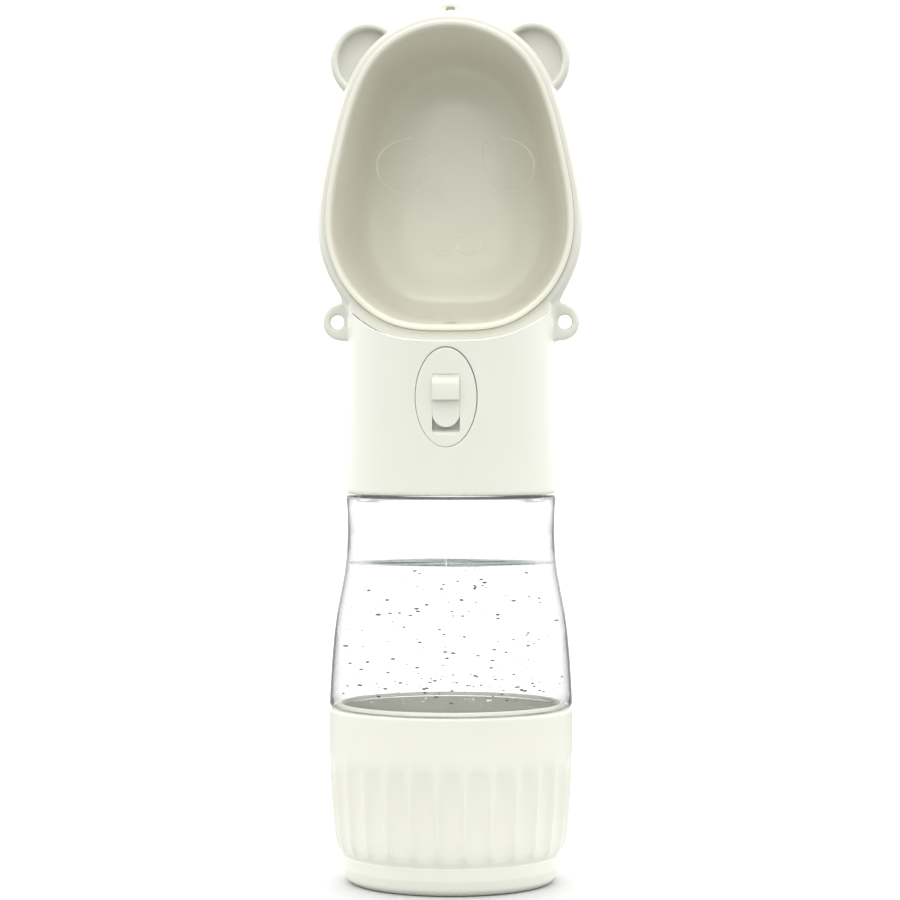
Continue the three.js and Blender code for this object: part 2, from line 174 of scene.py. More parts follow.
def screw(z0, turns, lead, height, w_root, w_tip):
    """Radial height of a screw ridge at (theta, z) as a function."""
    def at(th, z):
        a = th % (2 * math.pi)
        best = np.zeros_like(a)
        for k in range(0, int(turns) + 2):
            t = a / (2 * math.pi) + k
            live = (t >= 0) & (t <= turns)
            zc = z0 + t * lead
            d = np.abs(z - zc)
            h = np.clip((w_root / 2 - d) / ((w_root - w_tip) / 2), 0, 1)
            fade = smooth01(np.minimum(t, turns - t) / 0.06)
            best = np.maximum(best, np.where(live, h * fade, 0))
        return best * height
    return at


# ----------------------------------------------------------------- bowl outline
RIM = np.array([
    [0, 246.81], [7.61, 245.84], [14.94, 242.63], [20.94, 237.84], [25.34, 231.24], [28.24, 223.97], [30.55, 216.15],
    [32.25, 208.47], [33.86, 200.43], [34.71, 192.68], [34.45, 184.6], [32.31, 177.26], [28.24, 170.31], [22.75, 165.01],
    [15.71, 161.22], [8.2, 159.81], [0, 159.63]])
RIM_Y = -9.0                     # front of the shell round the bowl
LEDGE_D = 4.2                    # the neck's upper edge runs this far outside the rim line
OUTLET_Y = -1.5


def egg_curve(n=720):
    """Closed outline in (x, z), clockwise seen from the front, starting at the top."""
    P = np.vstack([RIM, RIM[1:-1][::-1] * [-1, 1]])
    m = len(P)
    out = []
    for i in range(m):                                   # centripetal Catmull-Rom
        p0, p1, p2, p3 = P[i - 1], P[i], P[(i + 1) % m], P[(i + 2) % m]
        t0 = 0.0
        t1 = t0 + np.linalg.norm(p1 - p0) ** 0.5
        t2 = t1 + np.linalg.norm(p2 - p1) ** 0.5
        t3 = t2 + np.linalg.norm(p3 - p2) ** 0.5
        for t in np.linspace(t1, t2, 40, endpoint=False):
            a1 = (t1 - t) / (t1 - t0) * p0 + (t - t0) / (t1 - t0) * p1
            a2 = (t2 - t) / (t2 - t1) * p1 + (t - t1) / (t2 - t1) * p2
            a3 = (t3 - t) / (t3 - t2) * p2 + (t - t2) / (t3 - t2) * p3
            b1 = (t2 - t) / (t2 - t0) * a1 + (t - t0) / (t2 - t0) * a2
            b2 = (t3 - t) / (t3 - t1) * a2 + (t - t1) / (t3 - t1) * a3
            out.append((t2 - t) / (t2 - t1) * b1 + (t - t1) / (t2 - t1) * b2)
    C = np.array(out)

    def even(C, k):
        D = np.vstack([C, C[:1]])
        s = np.r_[0, np.cumsum(np.linalg.norm(np.diff(D, axis=0), axis=1))]
        u = np.linspace(0, s[-1], k, endpoint=False)
        return np.stack([np.interp(u, s, D[:, j]) for j in (0, 1)], 1)

    C = even(C, 720)
    # iron out the small waves of the measured points without shrinking the outline
    k = np.exp(-0.5 * (np.arange(-45, 46) / 12.0) ** 2)
    k /= k.sum()

    def ironed(C):
        return np.stack([np.convolve(np.r_[C[-45:, j], C[:, j], C[:45, j]], k, "valid") for j in (0, 1)], 1)
    S = ironed(C)
    S = S + (S - ironed(S)) * 1.3
    S = (S + np.c_[-S[:, 0], S[:, 1]][(-np.arange(720)) % 720]) / 2   # left and right alike
    return even(S, n)


def normals2(C):
    t = np.roll(C, -1, 0) - np.roll(C, 1, 0)
    t /= np.linalg.norm(t, axis=1)[:, None]
    return np.stack([-t[:, 1], t[:, 0]], 1)


EGG = egg_curve(720)
EGG_N = normals2(EGG)


def egg_sweep(profile, n=360, closed=False, start_cap=None, end_cap=None):
    """Surface through (offset, y) pairs carried round the bowl outline."""
    C = EGG[:: 720 // n]
    N = EGG_N[:: 720 // n]
    verts = []
    for d, y in profile:
        verts.append(np.stack([C[:, 0] + d * N[:, 0], np.full(n, y), C[:, 1] + d * N[:, 1]], 1))
    m = len(profile)
    V = np.vstack(verts)
    faces = []
    last = m if closed else m - 1
    for a in range(last):
        b = (a + 1) % m
        for i in range(n):
            j = (i + 1) % n
            faces.append((a * n + i, a * n + j, b * n + j, b * n + i))
    return V, faces


# --------------------------------------------------- signed distances and a mesher
def sd_poly(px, pz, poly):
    """Signed distance (negative inside) from points to a closed polygon."""
    px = np.asarray(px, float)
    shape = px.shape
    p = np.stack([px.ravel(), np.asarray(pz, float).ravel()], 1)
    best = np.full(len(p), 1e9)
    inside = np.zeros(len(p), bool)
    m = len(poly)
    for i in range(m):
        a, b = poly[i], poly[(i + 1) % m]
        e = b - a
        w = p - a
        t = np.clip((w @ e) / max(e @ e, 1e-12), 0, 1)
        q = w - t[:, None] * e
        best = np.minimum(best, (q * q).sum(1))
        if a[1] != b[1]:
            cond = (a[1] > p[:, 1]) != (b[1] > p[:, 1])
            xi = (b[0] - a[0]) * (p[:, 1] - a[1]) / (b[1] - a[1]) + a[0]
            inside ^= cond & (p[:, 0] < xi)
    d = np.sqrt(best)
    return np.where(inside, -d, d).reshape(shape)


def smin(a, b, k):
    h = np.clip(0.5 + 0.5 * (b - a) / k, 0, 1)
    return b + (a - b) * h - k * h * (1 - h)


def smax(a, b, k):
    return -smin(-a, -b, k)


def nets(F, origin, h):
    """Surface net of a sampled signed distance; faces point to the positive side."""
    S = F < 0
    nx, ny, nz = F.shape
    tot = np.zeros((nx - 1, ny - 1, nz - 1), np.uint8)
    for i in (0, 1):
        for j in (0, 1):
            for k in (0, 1):
                tot += S[i:nx - 1 + i, j:ny - 1 + j, k:nz - 1 + k]
    mask = (tot > 0) & (tot < 8)
    idx = np.full(mask.shape, -1, np.int64)
    cells = np.argwhere(mask)
    idx[mask] = np.arange(len(cells))
    acc = np.zeros((len(cells), 3))
    cnt = np.zeros(len(cells))
    corners = [(i, j, k) for i in (0, 1) for j in (0, 1) for k in (0, 1)]
    for a in corners:
        for ax in range(3):
            if a[ax]:
                continue
            b = list(a)
            b[ax] = 1
            fa = F[cells[:, 0] + a[0], cells[:, 1] + a[1], cells[:, 2] + a[2]]
            fb = F[cells[:, 0] + b[0], cells[:, 1] + b[1], cells[:, 2] + b[2]]
            c = (fa < 0) != (fb < 0)
            t = np.where(c, fa / np.where(c, fa - fb, 1), 0)
            p = np.tile(np.array(a, float), (len(cells), 1))
            p[:, ax] += t
            acc[c] += p[c]
            cnt[c] += 1
    V = (cells + acc / cnt[:, None]) * h + origin
    quads = []
    for ax in range(3):
        sl0 = [slice(None)] * 3
        sl1 = [slice(None)] * 3
        sl0[ax] = slice(0, -1)
        sl1[ax] = slice(1, None)
        A, B = S[tuple(sl0)], S[tuple(sl1)]
        e = np.argwhere(A != B)
        u, v = (ax + 1) % 3, (ax + 2) % 3
        ok = (e[:, u] > 0) & (e[:, v] > 0) & (e[:, u] < F.shape[u] - 1) & (e[:, v] < F.shape[v] - 1)
        e = e[ok]
        def cell(du, dv):
            c = e.copy()
            c[:, u] += du
            c[:, v] += dv
            return idx[c[:, 0], c[:, 1], c[:, 2]]
        q = np.stack([cell(-1, -1), cell(0, -1), cell(0, 0), cell(-1, 0)], 1)
        flip = ~A[e[:, 0], e[:, 1], e[:, 2]]
        q[flip] = q[flip][:, ::-1]
        quads.append(q)
    return V, np.vstack(quads)


def clip(V, faces, value, snap):
    """Keeps the part of a mesh where value(V) > 0.  New points are moved by snap
    onto the exact edge.  Returns verts, faces and the loops of new points as edges."""
    V = np.asarray(V, float)
    val = value(V)
    out_v = [V]
    n = len(V)
    cache = {}
    faces_out, edges = [], []
    new_pts = []
    for f in faces:
        s = [val[i] > 0 for i in f]
        if all(s):
            faces_out.append(tuple(int(i) for i in f))
            continue
        if not any(s):
            continue
        poly, cut = [], []
        m = len(f)
        for k in range(m):
            i, j = int(f[k]), int(f[(k + 1) % m])
            if s[k]:
                poly.append(i)
            if s[k] != s[(k + 1) % m]:
                key = (min(i, j), max(i, j))
                if key not in cache:
                    t = val[i] / (val[i] - val[j])
                    cache[key] = n + len(new_pts)
                    new_pts.append(V[i] + (V[j] - V[i]) * t)
                poly.append(cache[key])
                cut.append((len(poly) - 1, s[k]))
        if len(poly) >= 3:
            faces_out.append(tuple(poly))
            if len(cut) == 2:
                a, b = poly[cut[0][0]], poly[cut[1][0]]
                # the edge runs from where the face leaves the kept side to where it comes back
                edges.append((a, b) if cut[0][1] else (b, a))
    if new_pts:
        out_v.append(snap(np.array(new_pts)))
    W = np.vstack(out_v)
    used = np.zeros(len(W), bool)
    for f in faces_out:
        used[list(f)] = True
    remap = np.cumsum(used) - 1
    W = W[used]
    return W, [tuple(int(remap[i]) for i in f) for f in faces_out], [(int(remap[a]), int(remap[b])) for a, b in edges]


def skirt(V, faces, edges, steps):
    """Adds walls along cut edges.  steps are functions that carry the edge's points."""
    V = np.asarray(V)
    ids = sorted({i for e in edges for i in e})
    pos = {i: k for k, i in enumerate(ids)}
    base = V[ids]
    rings = [np.array(ids)]
    n = len(V)
    parts = [V]
    for s in steps:
        p = s(base)
        parts.append(p)
        rings.append(np.arange(n, n + len(ids)))
        n += len(ids)
    out = list(faces)
    for r0, r1 in zip(rings[:-1], rings[1:]):
        for a, b in edges:
            out.append((int(r0[pos[b]]), int(r0[pos[a]]), int(r1[pos[a]]), int(r1[pos[b]])))
    return np.vstack(parts), out


# --------------------------------------------------------------------- materials
def nodes_of(mat):
    mat.use_nodes = True
    nt = mat.node_tree
    nt.nodes.clear()
    return nt


def plastic(name, base, base2, rough=0.32, grain=0.02, grain_scale=2500.0, mottle=35.0, spec=0.5, coat=0.0, sub=0.0):
    """Moulded plastic: two close tones, fine moulding grain and a little change of gloss."""
    m = bpy.data.materials.new(name)
    nt = nodes_of(m)
    N, L = nt.nodes, nt.links
    out = N.new("ShaderNodeOutputMaterial")
    b = N.new("ShaderNodeBsdfPrincipled")
    L.new(b.outputs[0], out.inputs[0])
    tc = N.new("ShaderNodeTexCoord")
    n1 = N.new("ShaderNodeTexNoise")
    n1.inputs["Scale"].default_value = mottle
    n1.inputs["Detail"].default_value = 3
    L.new(tc.outputs["Object"], n1.inputs["Vector"])
    r = N.new("ShaderNodeValToRGB")
    r.color_ramp.elements[0].position = 0.3
    r.color_ramp.elements[0].color = (*base, 1)
    r.color_ramp.elements[1].position = 0.7
    r.color_ramp.elements[1].color = (*base2, 1)
    L.new(n1.outputs["Fac"], r.inputs[0])
    L.new(r.outputs[0], b.inputs["Base Color"])
    n2 = N.new("ShaderNodeTexNoise")
    n2.inputs["Scale"].default_value = grain_scale
    n2.inputs["Detail"].default_value = 2
    L.new(tc.outputs["Object"], n2.inputs["Vector"])
    bp = N.new("ShaderNodeBump")
    bp.inputs["Strength"].default_value = grain
    bp.inputs["Distance"].default_value = 0.0001
    L.new(n2.outputs["Fac"], bp.inputs["Height"])
    L.new(bp.outputs[0], b.inputs["Normal"])
    n3 = N.new("ShaderNodeTexNoise")
    n3.inputs["Scale"].default_value = 90
    n3.inputs["Detail"].default_value = 4
    L.new(tc.outputs["Object"], n3.inputs["Vector"])
    mr = N.new("ShaderNodeMapRange")
    mr.inputs["To Min"].default_value = rough - 0.04
    mr.inputs["To Max"].default_value = rough + 0.05
    L.new(n3.outputs["Fac"], mr.inputs["Value"])
    L.new(mr.outputs[0], b.inputs["Roughness"])
    b.inputs["IOR"].default_value = 1.5
    b.inputs["Specular IOR Level"].default_value = spec
    if coat:
        b.inputs["Coat Weight"].default_value = coat
        b.inputs["Coat Roughness"].default_value = 0.12
    if sub:
        b.inputs["Subsurface Weight"].default_value = sub
        b.inputs["Subsurface Radius"].default_value = (0.0022, 0.0018, 0.0012)
        b.inputs["Subsurface Scale"].default_value = 1.0
    return m


def clear_plastic(name, density, tint, coat=0.0, ior=1.0, rough=0.0):
    """Clear, thin-walled look: light goes straight through, is dimmed along its way
    inside and glances off a glossy surface."""
    m = bpy.data.materials.new(name)
    nt = nodes_of(m)
    N, L = nt.nodes, nt.links
    out = N.new("ShaderNodeOutputMaterial")
    b = N.new("ShaderNodeBsdfPrincipled")
    L.new(b.outputs[0], out.inputs["Surface"])
    b.inputs["Base Color"].default_value = (1, 1, 1, 1)
    b.inputs["Transmission Weight"].default_value = 1.0
    b.inputs["IOR"].default_value = ior
    b.inputs["Roughness"].default_value = rough
    if coat:
        b.inputs["Coat Weight"].default_value = coat
        b.inputs["Coat Roughness"].default_value = 0.02
        b.inputs["Coat IOR"].default_value = 1.5
    va = N.new("ShaderNodeVolumeAbsorption")
    va.inputs["Color"].default_value = (*tint, 1)
    va.inputs["Density"].default_value = density
    L.new(va.outputs[0], out.inputs["Volume"])
    return m


def clear_body(name, density, tint, show=0.02, colour=(0.9, 0.93, 0.93), rough=0.03):
    """Water and the like: almost unseen on its surface, dimmed a little along the way inside."""
    m = bpy.data.materials.new(name)
    nt = nodes_of(m)
    N, L = nt.nodes, nt.links
    out = N.new("ShaderNodeOutputMaterial")
    b = N.new("ShaderNodeBsdfPrincipled")
    L.new(b.outputs[0], out.inputs["Surface"])
    b.inputs["Base Color"].default_value = (*colour, 1)
    b.inputs["Roughness"].default_value = rough
    tc = N.new("ShaderNodeTexCoord")
    n = N.new("ShaderNodeTexNoise")
    n.inputs["Scale"].default_value = 60
    L.new(tc.outputs["Object"], n.inputs["Vector"])
    mr = N.new("ShaderNodeMapRange")
    mr.inputs["To Min"].default_value = show * 0.6
    mr.inputs["To Max"].default_value = show * 1.4
    L.new(n.outputs["Fac"], mr.inputs["Value"])
    L.new(mr.outputs[0], b.inputs["Alpha"])
    va = N.new("ShaderNodeVolumeAbsorption")
    va.inputs["Color"].default_value = (*tint, 1)
    va.inputs["Density"].default_value = density
    L.new(va.outputs[0], out.inputs["Volume"])
    return m


def rubber(name, base, base2, rough=0.6):
    return plastic(name, base, base2, rough=rough, grain=0.15, grain_scale=1800, mottle=80, spec=0.35)


def steel(name):
    m = bpy.data.materials.new(name)
    nt = nodes_of(m)
    N, L = nt.nodes, nt.links
    out = N.new("ShaderNodeOutputMaterial")
    b = N.new("ShaderNodeBsdfPrincipled")
    L.new(b.outputs[0], out.inputs[0])
    tc = N.new("ShaderNodeTexCoord")
    n = N.new("ShaderNodeTexNoise")
    n.inputs["Scale"].default_value = 700
    n.inputs["Detail"].default_value = 3
    L.new(tc.outputs["Object"], n.inputs["Vector"])
    r = N.new("ShaderNodeValToRGB")
    r.color_ramp.elements[0].color = (0.50, 0.51, 0.53, 1)
    r.color_ramp.elements[1].color = (0.66, 0.67, 0.69, 1)
    L.new(n.outputs["Fac"], r.inputs[0])
    L.new(r.outputs[0], b.inputs["Base Color"])
    mr = N.new("ShaderNodeMapRange")
    mr.inputs["To Min"].default_value = 0.2
    mr.inputs["To Max"].default_value = 0.4
    L.new(n.outputs["Fac"], mr.inputs["Value"])
    L.new(mr.outputs[0], b.inputs["Roughness"])
    b.inputs["Metallic"].default_value = 1.0
    return m


A1, A2 = (0.668, 0.672, 0.596), (0.688, 0.692, 0.616)
CREAM = plastic("cream_plastic", A1, A2, rough=0.34, grain=0.05, sub=0.0)
# the bowl's plastic is a lighter, warmer copy of the cream: painted light that brightens the bowl's shaded inside
BOWL_PAINTED_LIGHT = plastic("bowl_plastic_painted_light", (0.684, 0.672, 0.577), (0.702, 0.691, 0.596), rough=0.19, grain=0.02)
# the relief's plastic is paler than the bowl's: a painted highlight along the raised lines
RELIEF_PAINTED_HIGHLIGHT = plastic("relief_painted_highlight_plastic", (0.80, 0.79, 0.70), (0.82, 0.81, 0.72), rough=0.16, grain=0.02)
# the cup's plastic is a darker copy of the cream: painted shade that takes back the extra light the cup gets from the
# floor
CUP_PAINTED_SHADE = plastic("cup_plastic_painted_shade", (0.646, 0.650, 0.574), (0.666, 0.670, 0.594), rough=0.32, grain=0.05)
BUTTON = plastic("button_plastic", A1, A2, rough=0.30, grain=0.05)
INNER = plastic("inner_plastic", (0.62, 0.62, 0.55), (0.64, 0.64, 0.57), rough=0.45, grain=0.08)
CLEAR = clear_plastic("clear_plastic", density=330, tint=(0.50, 0.515, 0.50), coat=0.30)
CLEAR_MID = clear_plastic("clear_plastic_neck", density=60, tint=(0.50, 0.52, 0.50), coat=0.1)
CLEAR_LOW = clear_plastic("clear_plastic_floor", density=8, tint=(0.62, 0.62, 0.50), coat=0.0)
CLEAR_SKIRT = clear_body("clear_plastic_skirt", density=14, tint=(0.60, 0.60, 0.50))
WATER = clear_body("water", density=1.2, tint=(0.60, 0.75, 0.80), show=0.01)
# the water's skin absorbs strongly: a grey sheet of painted shade at the water line
SKIN_PAINTED_SHADE = clear_body("water_skin_painted_shade", density=820, tint=(0.42, 0.45, 0.42), show=0.02)
# bubbles: a grey absorbing body and a faint white surface, painted shade and painted glints on real bubbles
BUBBLE_PAINTED_SHADE_AND_GLINT = clear_body("bubble", density=5200, tint=(0.35, 0.35, 0.34), show=0.15)
GASKET = rubber("gasket_rubber", (0.27, 0.27, 0.255), (0.31, 0.31, 0.295))
# floor bubbles: nearly opaque white specks, painted glints
BEAD_PAINTED_GLINT = clear_body("floor_bubble", density=200, tint=(0.8, 0.8, 0.8), show=0.85, colour=(0.95, 0.95, 0.93))
PALE = rubber("pale_silicone", (0.74, 0.74, 0.69), (0.78, 0.78, 0.73), rough=0.5)
SILICONE = rubber("silicone", (0.13, 0.13, 0.125), (0.16, 0.16, 0.155))
STEEL = steel("steel")


# ----------------------------------------------------------------------- food cup
FLUTES = 28
TURN = 0.046                     # one ridge stands a little left of the middle of the front
FLOOR_Z = [8.0, 9.4, 11.0, 14.4, 21.0, 26.0, 30.0, 33.0, 35.5, 38.0]
FLOOR_R = [31.3, 31.95, 32.3, 32.6, 32.85, 33.2, 33.65, 34.25, 34.9, 35.2]


def cup_outer(th, r, h):
    """Radius of the cup's outside: crisp ridges with wide hollow flutes between them."""
    u = ((th - FRONT - TURN) / (2 * math.pi) * FLUTES) % 1.0
    u = np.where(u > 0.5, 1 - u, u) * 2            # 0 in the middle of a flute, 1 on a ridge
    q = np.clip(u / 0.93, 0, 1)
    floor = min(r, float(np.interp(h, FLOOR_Z, FLOOR_R)))
    r = floor + (r - floor) * float(smooth01((h - 7.6) / 4.6))
    return floor + (r - floor) * q ** 2.8


cup_thread = screw(42.6, 1.15, 4.0, 1.0, 2.0, 1.0)


def build_cup():
    outer = rounded([(0, 0), (28.9, 0, 0.8), (30.6, 1.3, 1.8), (31.2, 4.2, 3), (31.35, 7.6, 1.5), (33.05, 10.4, 2.2), (33.75, 14.4, 8), (34.3, 21.0, 20),
                     (34.75, 26.5, 20), (35.12, 33.0, 8), (35.2, 49.0, 0.5), (35.15, 50.1, 0.7), (32.6, 50.1, 0.35), (32.6, 48.0)], 5)
    outer = dense(outer, 0.42)

    def move(th, r, h):
        if r > 31.25 and 7.6 < h < 38.2:
            return cup_outer(th, r, h)
        return np.full(len(th), r)

    v1, f1 = lathe(outer, seg=FLUTES * 16, move=move)
    inner = rounded([(32.6, 48.0), (32.6, 40.2, 0.4), (31.3, 38.6, 0.8), (28.4, 4.0, 2.5), (25.5, 3.0, 1.0), (0, 3.0)], 5)
    inner = dense(inner, 0.5)

    def move_in(th, r, h):
        if h > 40.3:
            return r - cup_thread(th, h)
        return np.full(len(th), r)
    v2, f2 = lathe(inner, seg=FLUTES * 8, move=move_in)
    v, f = join_parts([(v1, f1), (v2, f2)])
    # the cup is drawn in the darker copy of the cream, painted shade
    return make("food_cup_body", v, f, "cup", CUP_PAINTED_SHADE, ["food_cup"], "cream_plastic", 40)


build_cup()
v, f = lathe(rounded([(31.7, 50.45), (33.1, 50.45, 0.25), (33.1, 51.55, 0.25), (31.7, 51.55, 0.25)], 4), 128, closed=True)
make("cup_gasket_ring", *outward(v, f), "cup_seal", PALE, ["cup_gasket"], "silicone", 50)


# ------------------------------------------------------------------- clear bottle
BOTTLE_OUT = [(34.6, 50.5, 0.4), (35.2, 51.2, 0.8), (35.0, 56.0, 20), (34.5, 64.0, 30), (33.8, 72.0, 30), (32.9, 78.5, 30),
              (31.8, 84.2, 30), (30.8, 89.6, 30), (30.2, 95.0, 30), (30.0, 101.0, 30), (30.1, 107.8, 12), (30.4, 110.4, 3), (30.4, 111.58, 0.4)]
WALL = 0.62
BOTTLE_IN = [(r - WALL, h, 30) for r, h, _ in BOTTLE_OUT[2:-3][::-1]] + [(34.5, 53.6, 0.5), (34.15, 51.3, 0.3), (34.15, 50.6, 0.1)]


def build_bottle():
    low = screw(44.6, 1.15, 4.0, 1.0, 2.0, 1.0)
    high = screw(113.4, 1.1, 4.0, 1.0, 2.0, 1.0)
    pts = BOTTLE_OUT + [(27.1, 111.58, 0.1), (27.1, 111.05, 0.1), (29.75, 111.0, 0.4), (29.75, 109.5, 0.3)] + BOTTLE_IN
    prof = dense(rounded(pts + [pts[0]], 6), 0.9)[:-1]
    v, f = lathe(prof, seg=192, closed=True)
    make("clear_bottle", *outward(v, f), "bottle", CLEAR, ["water_bottle"], "clear_plastic", 40)

    # shoulder and screwed neck
    pts = [(29.6, 110.3, 0.1), (29.6, 110.95, 0.1), (26.95, 110.95, 0.1), (26.95, 109.9, 0.25), (23.9, 109.9, 0.25),
           (23.9, 111.6, 0.2), (23.5, 111.9, 0.2), (23.5, 119.6, 0.5), (21.7, 119.6, 0.5), (21.7, 109.4, 0.5), (27.2, 109.4, 0.3),
           (27.7, 110.3, 0.3)]
    prof = dense(rounded(pts + [pts[0]], 6), 0.9)[:-1]
    # finer rows where the screw ridges are
    rows = [prof[0]]
    for p, q in zip(prof[:-1], prof[1:]):
        fine = (abs(p[0] - 31.0) < 0.05 and abs(q[0] - 31.0) < 0.05) or (abs(p[0] - 23.5) < 0.05 and abs(q[0] - 23.5) < 0.05)
        k = 3 if fine else 1
        rows += [p + (q - p) * (i + 1) / k for i in range(k)]
    prof = np.array(rows)

    def move(th, r, h):
        if abs(r - 23.5) < 0.02 and h > 112:
            return r + high(th, h)
        return np.full(len(th), r)
    v, f = lathe(prof, seg=192, move=move, closed=True)
    make("clear_bottle_neck", *outward(v, f), "bottle", CLEAR_MID, ["water_bottle"], "clear_plastic", 40)

    # the floor and the screw skirt below it
    v, f = lathe(rounded([(0, 52.45), (34.0, 52.45, 0.2), (34.0, 53.1, 0.2), (0, 53.1)], 4), 192)
    make("clear_bottle_floor", *outward(v, f), "bottle", CLEAR_LOW, ["water_bottle"], "clear_plastic", 40)
    pts = [(29.4, 41.6, 0.4), (31.0, 41.6, 0.4), (31.0, 52.3, 0.1), (29.4, 52.3, 0.1)]
    prof = dense(rounded(pts, 4), 0.7)

    def move2(th, r, h):
        if abs(r - 31.0) < 0.02 and h < 50.2:
            return r + low(th, h)
        return np.full(len(th), r)
    v, f = lathe(prof, seg=192, move=move2, closed=True)
    return make("clear_bottle_skirt", *outward(v, f), "bottle", CLEAR_SKIRT, ["water_bottle"], "clear_plastic", 40)


build_bottle()

v, f = lathe(rounded([(24.9, 110.7), (26.55, 110.7, 0.3), (26.55, 111.5, 0.2), (24.9, 111.5, 0.2)], 4), 128, closed=True)
make("neck_gasket_ring", *outward(v, f), "neck_seal", GASKET, ["neck_gasket"], "silicone", 50)

# water, a hair clear of the wall, with a small meniscus
WATER_Z = 91.9


def build_water():
    gap = 0.06
    wall = rounded(BOTTLE_IN, 6)
    wall = wall[(wall[:, 1] < WATER_Z - 0.3)]
    side = [(r - gap, max(h, 53.2)) for r, h in wall][::-1]
    side = [(0, 53.2), (34.2, 53.2)] + [q for q in side if q[1] > 53.8]
    side = dense(side, 1.2)
    top_r = side[-1][0] + 0.02
    men = [(top_r, WATER_Z + 0.35), (top_r - 0.35, WATER_Z + 0.16), (top_r - 0.9, WATER_Z + 0.04), (top_r - 1.8, WATER_Z), (0, WATER_Z)]
    prof = np.vstack([side, men])
    v, f = lathe(prof, seg=160)
    make("water_fill", *outward(v, f), "bottle", WATER, (), "clear_plastic", 60)
    # a thin grey absorbing skin on the water, which looks grey where it is seen almost edge-on: painted shade for the
    # water line
    rr = np.r_[np.linspace(0, 28.0, 60)[1:], top_r - 0.6, top_r - 0.12]
    th = FRONT + np.arange(160) / 160 * 2 * math.pi
    wave = np.zeros((len(rr), 160))
    for kx, ky, ph, amp in ((0.21, 0.13, 0.3, 0.045), (-0.11, 0.27, 1.9, 0.040), (0.33, -0.22, 4.0, 0.026), (0.05, 0.52, 2.2, 0.018)):
        X, Y = rr[:, None] * np.cos(th), rr[:, None] * np.sin(th)
        wave += amp * np.sin(kx * X + ky * Y + ph)
    middle = 0.045 * math.sin(0.3) + 0.040 * math.sin(1.9) + 0.026 * math.sin(4.0) + 0.018 * math.sin(2.2)
    top, low = [], []
    for i, r in enumerate(rr):
        zz = WATER_Z + 0.10 + wave[i] * (1 - (r / top_r) ** 6) + (0.16 if r > top_r - 0.2 else 0.0)
        top.append(np.stack([r * np.cos(th), r * np.sin(th), zz], 1))
        thick = 0.13 - 0.09 * float(smooth01((r - 20.0) / 8.0))
        low.append(np.stack([r * np.cos(th), r * np.sin(th), zz - thick], 1))
    zc = WATER_Z + 0.10 + middle
    V = np.vstack([[[0, 0, zc]]] + top + low[::-1] + [[[0, 0, zc - 0.13]]])
    rings = 2 * len(rr)
    F = [(0, 1 + i, 1 + (i + 1) % 160) for i in range(160)]
    for a in range(rings - 1):
        for i in range(160):
            j = (i + 1) % 160
            F.append((1 + a * 160 + i, 1 + (a + 1) * 160 + i, 1 + (a + 1) * 160 + j, 1 + a * 160 + j))
    n = len(V) - 1
    F += [(n, 1 + (rings - 1) * 160 + (i + 1) % 160, 1 + (rings - 1) * 160 + i) for i in range(160)]
    make("water_skin_painted_shade", *outward(V, F), "bottle", SKIN_PAINTED_SHADE, (), "clear_plastic", 60)


build_water()


def build_bubbles():
    rng = np.random.default_rng(11)
    bm = bmesh.new()
    for i in range(235):
        z = 54.2 + (90.5 - 54.2) * rng.random() ** 1.8
        r_in = np.interp(z, [54, 64, 72, 78.5, 84.2, 89.6], [33.8, 33.4, 32.7, 31.8, 30.7, 29.7]) - 0.9
        a = rng.random() * 2 * math.pi
        rr = r_in * math.sqrt(rng.random())
        s = 0.17 + 0.32 * rng.random() ** 2.2
        m = bmesh.ops.create_icosphere(bm, subdivisions=2, radius=s * MM)
        wide = 1.2 + 0.9 * rng.random()
        bmesh.ops.scale(bm, verts=m["verts"], vec=(wide, wide, 0.72))
        bmesh.ops.translate(bm, verts=m["verts"], vec=Vector((rr * math.cos(a), rr * math.sin(a), z)) * MM)
    me = bpy.data.meshes.new("water_bubbles")
    bm.to_mesh(me)
    bm.free()
    me.polygons.foreach_set("use_smooth", [True] * len(me.polygons))
    # the bubbles take the grey, faintly white material: painted shade and painted glints
    me.materials.append(BUBBLE_PAINTED_SHADE_AND_GLINT)
    o = bpy.data.objects.new("water_bubbles", me)
    bpy.context.scene.collection.objects.link(o)
    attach(o, "bottle")


build_bubbles()


def build_beads():
    """Small bubbles that cling to the bottle's floor, drawn as nearly opaque white specks: painted glints."""
    rng = np.random.default_rng(5)
    bm = bmesh.new()
    for i in range(70):
        a = rng.random() * 2 * math.pi
        rr = 32.5 * math.sqrt(rng.random())
        s = 0.13 + 0.17 * rng.random() ** 2
        m = bmesh.ops.create_icosphere(bm, subdivisions=2, radius=s * MM)
        bmesh.ops.translate(bm, verts=m["verts"], vec=Vector((rr * math.cos(a), rr * math.sin(a), 53.25 + s)) * MM)
    me = bpy.data.meshes.new("floor_bubbles")
    bm.to_mesh(me)
    bm.free()
    me.polygons.foreach_set("use_smooth", [True] * len(me.polygons))
    me.materials.append(BEAD_PAINTED_GLINT)
    o = bpy.data.objects.new("floor_bubbles", me)
    bpy.context.scene.collection.objects.link(o)
    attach(o, "bottle")


build_beads()


# --------------------------------------------------------------------- head shell
BTN_Z, BTN_RX, BTN_RZ = 139.52, 8.44, 13.75


def spline(P, n=12):
    """Open Catmull-Rom through the points."""
    P = np.asarray(P, float)
    Q = np.vstack([2 * P[0] - P[1], P, 2 * P[-1] - P[-2]])
    out = []
    for i in range(1, len(Q) - 2):
        p0, p1, p2, p3 = Q[i - 1], Q[i], Q[i + 1], Q[i + 2]
        for t in np.linspace(0, 1, n, endpoint=False):
            out.append(0.5 * ((2 * p1) + (-p0 + p2) * t + (2 * p0 - 5 * p1 + 4 * p2 - p3) * t ** 2 + (-p0 + 3 * p1 - 3 * p2 + p3) * t ** 3))
    out.append(P[-1])
    return np.array(out)


